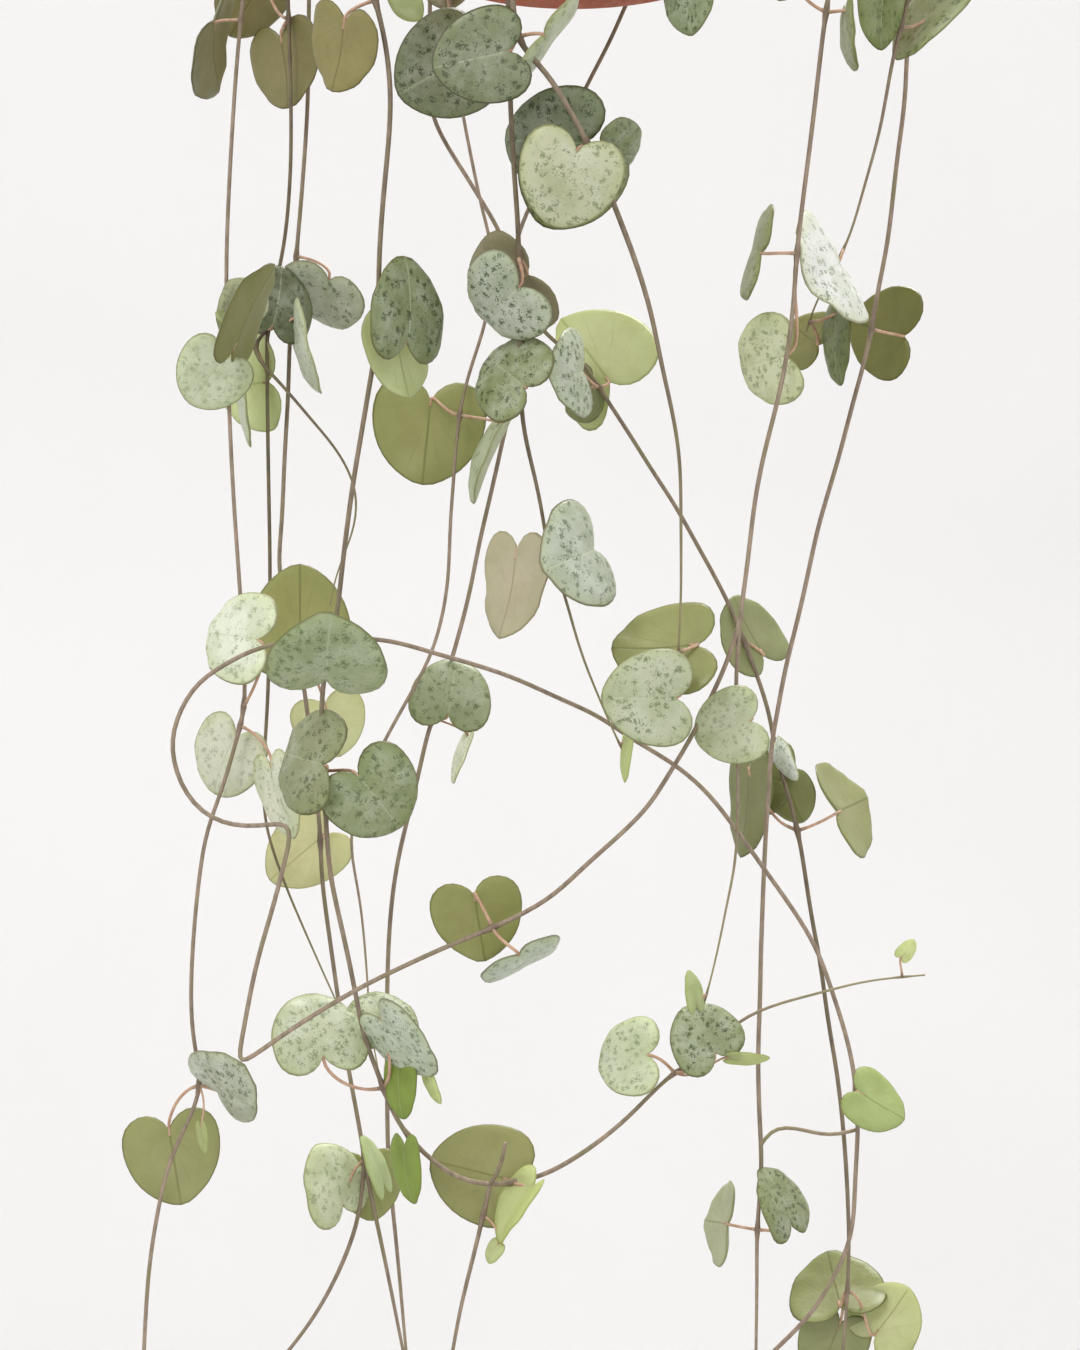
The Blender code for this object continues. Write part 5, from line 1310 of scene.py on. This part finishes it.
def vine_bmesh(stem, settings):
    """The stems and leaf stalks of one leafy stem."""
    bm = bmesh.new()
    for name in VINE_LAYERS:
        bm.verts.layers.float.new(name)
    draw = random.Random(stem["name"])
    shade = draw.uniform(*STEM_SHADES)
    thickness = draw.uniform(*STEM_SPREAD)
    for run in stem["runs"]:
        radii, young, joint = vine_radii(stem, run, settings)
        radii = radii * thickness
        marks = {"stalk": np.zeros_like(radii), "young": young, "joint": joint,
                 "shade": np.full_like(radii, shade)}
        merge_into(bm, round_wire(run["path"], radii, settings.stem_sides, marks))
    for place, tangent, leaf_blade in stem["leaves"]:
        merge_into(bm, stalk_bmesh(place, tangent, leaf_blade, shade, settings))
    return bm


class StageSettings(PropertyGroup):
    """The camera, the light and the stage."""
    lens: FloatProperty(name="Lens", description="Focal length of the camera's lens", default=60.0,
                        min=10.0, max=200.0, unit="CAMERA")
    light: FloatProperty(name="Light", description="Strength of the soft lights", default=1.0,
                         min=0.0, max=10.0)
    wall_colour: FloatVectorProperty(name="Wall", description="Colour of the wall and floor",
                                     subtype="COLOR", size=3, default=(0.92, 0.917, 0.91))


class LeafSettings(PropertyGroup):
    """The leaf blades."""
    thickness: FloatProperty(name="Thickness", description="Thickness of a grown blade",
                             default=0.0012, min=0.0004, max=0.004, unit="LENGTH")
    speck_density: FloatProperty(name="Speck density", description="Specks across a blade",
                                 default=13.0, min=2.0, max=40.0)
    translucency: FloatProperty(name="Translucency", description="Share of light let through",
                                default=1.0, min=0.0, max=1.0, subtype="FACTOR")


class VineSettings(PropertyGroup):
    """The stems and the leaf stalks."""
    stem_thickness: FloatProperty(name="Stem", description="Diameter of a grown stem",
                                  default=0.00086, min=0.0005, max=0.004, unit="LENGTH")
    stalk_thickness: FloatProperty(name="Leaf stalk", description="Diameter of a leaf stalk",
                                   default=0.0007, min=0.0003, max=0.003, unit="LENGTH")
    stem_sides: IntProperty(name="Sides", description="Faces round a stem", default=9, min=5,
                            max=24)


class PotSettings(PropertyGroup):
    """The pot, the potting mix and the hanger."""
    turned_steps: IntProperty(name="Steps", description="Faces round the pot", default=144,
                              min=24, max=256)
    crumbs: IntProperty(name="Crumbs", description="Loose crumbs on the soil", default=260,
                        min=0, max=2000)


class STRING_OF_HEARTS_OT_vines(Operator):
    """Makes the stems and leaves of every leafy stem"""
    bl_idname = "string_of_hearts.vines"
    bl_label = "Leafy stems"

    def execute(self, context):
        leaf_settings = context.scene.heart_leaf
        vine_settings = context.scene.heart_vine
        skin = leaf_material(leaf_settings)
        bark = vine_material()
        make_leaf_shape(*FINE_LEAF)
        make_leaf_shape(*PLAIN_LEAF)
        draw = random.Random(SEED + 1)
        for stem in plant():
            vine = add_object(stem["name"] + "_vine", vine_bmesh(stem, vine_settings), bark)
            leaves = bmesh.new()
            for name in LEAF_LAYERS:
                leaves.verts.layers.float.new(name)
            leaves.verts.layers.float_color.new("tint")
            for _, _, leaf_blade in stem["leaves"]:
                shape = FINE_LEAF if "tone" in leaf_blade else PLAIN_LEAF
                tone = TONE_COLOURS[leaf_blade.get("tone") or draw.choice(GROWN_TONES)]
                merge_into(leaves, leaf_solid(leaf_blade, tone, *shape,
                                              leaf_settings.thickness / MM, draw))
            blades = add_object(stem["name"] + "_leaves", leaves, skin)
            for piece in (vine, blades):
                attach(piece, "root")
            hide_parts(stem["name"])
        for shape, _ in LEAF_SHAPES.values():
            bpy.data.meshes.remove(shape)
        return {"FINISHED"}


def turned_bmesh(profile, steps):
    """A bmesh of a closed turned solid: its outline in radius and height, spun round the axis."""
    bm = bmesh.new()
    verts = [bm.verts.new((r * MM, 0, z * MM)) for r, z in profile]
    for a, b in zip(verts, verts[1:] + verts[:1]):
        bm.edges.new((a, b))
    bmesh.ops.spin(bm, geom=bm.verts[:] + bm.edges[:], cent=(0, 0, 0), axis=(0, 0, 1),
                   angle=math.tau, steps=steps, use_merge=True)
    bmesh.ops.remove_doubles(bm, verts=bm.verts, dist=WELD)
    outwards(bm)
    return bm


def rounded(profile, radii, count=4):
    """A closed profile with its corners rounded, each by its own radius."""
    points = []
    total = len(profile)
    for k in range(total):
        before, here, after = (np.array(profile[(k + d) % total], float) for d in (-1, 0, 1))
        radius = radii[k]
        if radius == 0:
            points.append(tuple(here))
            continue
        to_before, to_after = unit(before - here), unit(after - here)
        start, end = here + to_before * radius, here + to_after * radius
        for t in np.linspace(0, 1, count + 1):
            points.append(tuple(start * (1 - t)**2 + 2 * here * t * (1 - t) + end * t**2))
    return points


def wire_holes(pot):
    """Cuts the three wire holes through the pot's rim."""
    cutters = bpy.data.collections.new("wire_holes")
    bpy.context.scene.collection.children.link(cutters)
    z = RIM_Z - WIRE_HOLE_DROP
    for k, azimuth in enumerate(WIRE_AZIMUTHS):
        angle = math.radians(azimuth)
        ends = [(r * math.cos(angle), r * math.sin(angle), z)
                for r in (RIM_RADIUS - WALL - 6, RIM_RADIUS + 5)]
        mesh = bpy.data.meshes.new("wire_hole")
        bm = round_wire(ends, [WIRE_HOLE, WIRE_HOLE], HOLE_SIDES)
        bm.to_mesh(mesh)
        bm.free()
        cutters.objects.link(bpy.data.objects.new(f"wire_hole_{k}", mesh))
    cut = pot.modifiers.new("Holes", "BOOLEAN")
    cut.operation = "DIFFERENCE"
    cut.operand_type = "COLLECTION"
    cut.collection = cutters
    cut.solver = "EXACT"
    shape = pot.evaluated_get(bpy.context.evaluated_depsgraph_get())
    mesh = bpy.data.meshes.new_from_object(shape)
    pot.modifiers.clear()
    pot.data = mesh
    for cutter in list(cutters.objects):
        bpy.data.objects.remove(cutter)
    bpy.data.collections.remove(cutters)
    mesh.shade_smooth()
    mesh.set_sharp_from_angle(angle=SHARP_EDGE)


class STRING_OF_HEARTS_OT_pot(Operator):
    """Makes the terracotta pot"""
    bl_idname = "string_of_hearts.pot"
    bl_label = "Terracotta pot"

    def execute(self, context):
        settings = context.scene.heart_pot
        floor = BASE_Z + WALL
        collar_low = RIM_Z - COLLAR_HEIGHT
        profile = [(RIM_RADIUS, RIM_Z), (RIM_RADIUS - 0.6, collar_low),
                   (WALL_TOP_RADIUS, collar_low), (BASE_RADIUS, BASE_Z), (DRAIN_RADIUS, BASE_Z),
                   (DRAIN_RADIUS, floor), (FLOOR_RADIUS, floor), (RIM_RADIUS - WALL, RIM_Z)]
        corners = rounded(profile, [1.9, 1.4, 1.2, 1.6, 0.8, 0.8, 1.5, 1.5])
        pot = add_object("clay_pot", turned_bmesh(corners, settings.turned_steps),
                         clay_material())
        wire_holes(pot)
        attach(pot, "root")
        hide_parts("pot")
        return {"FINISHED"}


def soil_bmesh(top_radius):
    """The potting mix: a ball pressed to the pot's inside, with a lumpy mound on top."""
    bm = bmesh.new()
    bmesh.ops.create_uvsphere(bm, u_segments=SOIL_ROUND[0], v_segments=SOIL_ROUND[1], radius=1)
    base_radius = FLOOR_RADIUS - SEAT_GAP
    floor = BASE_Z + WALL + SEAT_GAP
    for vert in bm.verts:
        flat = vert.co.xy.length
        way = vert.co.xy.normalized() if flat > 1e-6 else vert.co.xy
        if vert.co.z > 0:
            radius = min(top_radius, flat * top_radius * SOIL_TURN)
            mound = SOIL_CROWN * (1 - (radius / top_radius)**2)
            place = Vector((way.x * radius, way.y * radius, 0))
            lumps = noise.fractal(place / LUMP_SIZE, 0.9, 2.1, 4) * LUMP_HEIGHT
            fade = min(1.0, (top_radius - radius) / LUMP_FADE)
            z = SOIL_Z + (mound + lumps) * fade
        else:
            share = min(1.0, max(0.0, 1 + vert.co.z * SOIL_FILL))
            radius = base_radius + (top_radius - base_radius) * share
            radius = min(radius, flat * SOIL_FLOOR * radius)
            z = max(floor, SOIL_Z + vert.co.z * SOIL_FILL * (SOIL_Z - floor))
        vert.co = (way.x * radius * MM, way.y * radius * MM, z * MM)
    outwards(bm)
    return bm


def heap_bmesh(draw, count, top_radius):
    """Crumbs or bits of grit, scattered over the mound."""
    heap = bmesh.new()
    for _ in range(count):
        radius = (top_radius - CRUMB_ROOM) * math.sqrt(draw.random())
        angle = draw.uniform(0, math.tau)
        size = draw.uniform(*CRUMB_SIZES)
        z = SOIL_Z + SOIL_CROWN * (1 - (radius / top_radius)**2)
        place = Matrix.Translation(Vector((radius * math.cos(angle), radius * math.sin(angle), z))
                                   * MM)
        turn = Matrix.Rotation(draw.uniform(0, 3), 4, Vector((draw.random(), 1, 0.3)))
        stretch = Matrix.Diagonal((size, size * draw.uniform(0.6, 1), size * CRUMB_FLATNESS, 1))
        bmesh.ops.create_icosphere(heap, subdivisions=1, radius=MM, matrix=place @ turn @ stretch)
    for vert in heap.verts:
        vert.co += noise.noise_vector(vert.co * CRUMB_GRAIN) * CRUMB_ROUGHNESS
    return heap


class STRING_OF_HEARTS_OT_soil(Operator):
    """Makes the potting mix with its crumbs and pale grit"""
    bl_idname = "string_of_hearts.soil"
    bl_label = "Potting mix"

    def execute(self, context):
        settings = context.scene.heart_pot
        _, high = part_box("soil")
        top_radius = high.x / MM
        soil = add_object("potting_mix", soil_bmesh(top_radius), soil_material())
        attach(soil, "root")
        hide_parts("soil")
        draw = random.Random(SEED + 2)
        for name, count, finish in (("crumbs", settings.crumbs, soil_material()),
                                    ("pale_grit", settings.crumbs // 3, grit_material())):
            grit = add_object("soil_" + name, heap_bmesh(draw, count, top_radius), finish)
            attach(grit, "root")
        return {"FINISHED"}


def hook_bmesh():
    """The hook's bend and shank, and the collar that the wires end at."""
    arc = [math.radians(a) for a in range(-35, 181, 9)]
    bend = [np.array((-HOOK_RADIUS * math.cos(a), 0,
                      HOOK_WIRE - HOOK_RADIUS + HOOK_RADIUS * math.sin(a))) for a in arc]
    shank = smooth([bend[-1], (10.5, 0, -19), (3.5, 0, -28), (0, 0, -38), (0, 0, COLLAR_TOP - 3)],
                   1.5)
    route = bend + shank[1:]
    hook = round_wire(route, [HOOK_WIRE] * len(route), HOOK_SIDES)
    collar = [(0.01, COLLAR_FOOT), (COLLAR_RADIUS, COLLAR_FOOT), (COLLAR_RADIUS, COLLAR_FOOT + 1.2),
              (COLLAR_RADIUS * 0.62, COLLAR_FOOT + COLLAR_LENGTH * 0.75),
              (COLLAR_RADIUS * 0.55, COLLAR_TOP), (0.01, COLLAR_TOP)]
    merge_into(hook, turned_bmesh(rounded(collar, [0, 0.5, 0.5, 1.5, 0.5, 0]), COLLAR_SIDES))
    return hook


def wire_bmesh(azimuth):
    """A wire from the collar down to the rim, out through its hole and up outside it."""
    angle = math.radians(azimuth)
    z = RIM_Z - WIRE_HOLE_DROP
    inside = RIM_RADIUS - WALL - 2.6
    bends = [(WIRE_TOP_RADIUS, COLLAR_FOOT - SEAT_GAP), (inside - 2.2, z + 6),
             (inside - 0.9, z + 2), (inside + 1.0, z), (RIM_RADIUS + 2, z),
             (RIM_RADIUS + 3.6, z + 1.2), (RIM_RADIUS + 4, z + 3.2), (RIM_RADIUS + 4, z + 8)]
    line = [np.array((r * math.cos(angle), r * math.sin(angle), h)) for r, h in bends]
    line = line[:1] + smooth([line[0] * 0.1 + line[1] * 0.9] + line[1:], 1.0)
    return round_wire(line, [WIRE] * len(line), WIRE_SIDES)


class STRING_OF_HEARTS_OT_hanger(Operator):
    """Makes the hanger's hook, collar and wires"""
    bl_idname = "string_of_hearts.hanger"
    bl_label = "Wire hanger"

    def execute(self, context):
        steel = wire_material()
        made = add_object("hook", hook_bmesh(), steel)
        made.data.set_sharp_from_angle(angle=SHARP_EDGE)
        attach(made, "root")
        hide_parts("hanger_hook")
        for k, azimuth in enumerate(WIRE_AZIMUTHS):
            wire = add_object(f"wire_{k + 1}", wire_bmesh(azimuth), steel)
            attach(wire, "root")
            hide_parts(f"hanger_wire_{k + 1}")
        return {"FINISHED"}


def place_camera(scene, lens):
    """The camera, at the place that the front drawing is seen from."""
    camera = bpy.data.objects.new("camera", bpy.data.cameras.new("camera"))
    scene.collection.objects.link(camera)
    camera.location = Vector(EYE) * MM
    camera.rotation_euler = (math.pi / 2, 0, 0)
    camera.data.lens = lens
    camera.data.sensor_width = 36
    camera.data.clip_start = 0.01
    scene.camera = camera


def sweep_bmesh():
    """The floor and the wall as one sheet with a round bend between them."""
    bm = bmesh.new()
    edge = [bm.verts.new((-STAGE_WIDTH / 2, y, z)) for y, z in FLOOR_LINE]
    for a, b in zip(edge, edge[1:]):
        bm.edges.new((a, b))
    bmesh.ops.bevel(bm, geom=[edge[1]], offset=0.5, segments=12, profile=0.5, affect="VERTICES",
                    material=-1)
    grown = bmesh.ops.extrude_edge_only(bm, edges=bm.edges[:])["geom"]
    moved = [g for g in grown if isinstance(g, bmesh.types.BMVert)]
    bmesh.ops.translate(bm, verts=moved, vec=(STAGE_WIDTH, 0, 0))
    return bm


def light_stage(scene, strength):
    """The pale world and the soft lights."""
    world = bpy.data.worlds.new("studio")
    world.use_nodes = True
    background = world.node_tree.nodes["Background"]
    background.inputs["Color"].default_value = WORLD_COLOUR
    background.inputs["Strength"].default_value = WORLD_LIGHT
    scene.world = world
    for name, place, size, power in SOFT_LIGHTS:
        light = bpy.data.lights.new(name, "AREA")
        light.shape = "SQUARE"
        light.size = size
        light.energy = power * strength
        lamp = bpy.data.objects.new(name, light)
        scene.collection.objects.link(lamp)
        lamp.location = place
        lamp.rotation_euler = (LIT_PLACE - lamp.location).to_track_quat("-Z", "Y").to_euler()


class STRING_OF_HEARTS_OT_stage(Operator):
    """Makes the camera, the soft lights, and the pale floor and wall"""
    bl_idname = "string_of_hearts.stage"
    bl_label = "Stage"

    def execute(self, context):
        settings = context.scene.heart_stage
        scene = context.scene
        place_camera(scene, settings.lens)
        paint = paint_material(displayed(settings.wall_colour))
        sweep = add_object("floor_and_wall", sweep_bmesh(), paint)
        light_stage(scene, settings.light)
        scene.view_settings.view_transform = "Standard"
        return {"FINISHED"}


class STRING_OF_HEARTS_PT_panel(Panel):
    """The plant's settings and the steps that build it"""
    bl_idname = "STRING_OF_HEARTS_PT_panel"
    bl_label = "String of hearts"
    bl_space_type = "VIEW_3D"
    bl_region_type = "UI"
    bl_category = "String of hearts"

    def draw(self, context):
        layout = self.layout
        for group, names in PANEL_ROWS:
            settings = getattr(context.scene, group)
            for name in names:
                layout.prop(settings, name)
        for step in STEPS:
            layout.operator(step.bl_idname)


PANEL_ROWS = (("heart_leaf", ("thickness", "speck_density", "translucency")),
              ("heart_vine", ("stem_thickness", "stalk_thickness", "stem_sides")),
              ("heart_pot", ("turned_steps", "crumbs")),
              ("heart_stage", ("lens", "light", "wall_colour")))
STEPS = (STRING_OF_HEARTS_OT_stage, STRING_OF_HEARTS_OT_pot, STRING_OF_HEARTS_OT_soil,
         STRING_OF_HEARTS_OT_hanger, STRING_OF_HEARTS_OT_vines)
GROUPS = {"heart_leaf": LeafSettings, "heart_vine": VineSettings, "heart_pot": PotSettings,
          "heart_stage": StageSettings}


def register():
    """Registers the settings, steps and panel."""
    for group in GROUPS.values():
        bpy.utils.register_class(group)
    for step in (*STEPS, STRING_OF_HEARTS_PT_panel):
        bpy.utils.register_class(step)
    for name, group in GROUPS.items():
        setattr(bpy.types.Scene, name, PointerProperty(type=group))


def unregister():
    """Takes the settings, steps and panel back."""
    for name in GROUPS:
        delattr(bpy.types.Scene, name)
    for step in (STRING_OF_HEARTS_PT_panel, *reversed(STEPS)):
        bpy.utils.unregister_class(step)
    for group in reversed(list(GROUPS.values())):
        bpy.utils.unregister_class(group)


def main():
    """Builds everything."""
    register()
    bpy.ops.string_of_hearts.stage()
    bpy.ops.string_of_hearts.pot()
    bpy.ops.string_of_hearts.soil()
    bpy.ops.string_of_hearts.hanger()
    bpy.ops.string_of_hearts.vines()


if __name__ == "__main__":
    main()
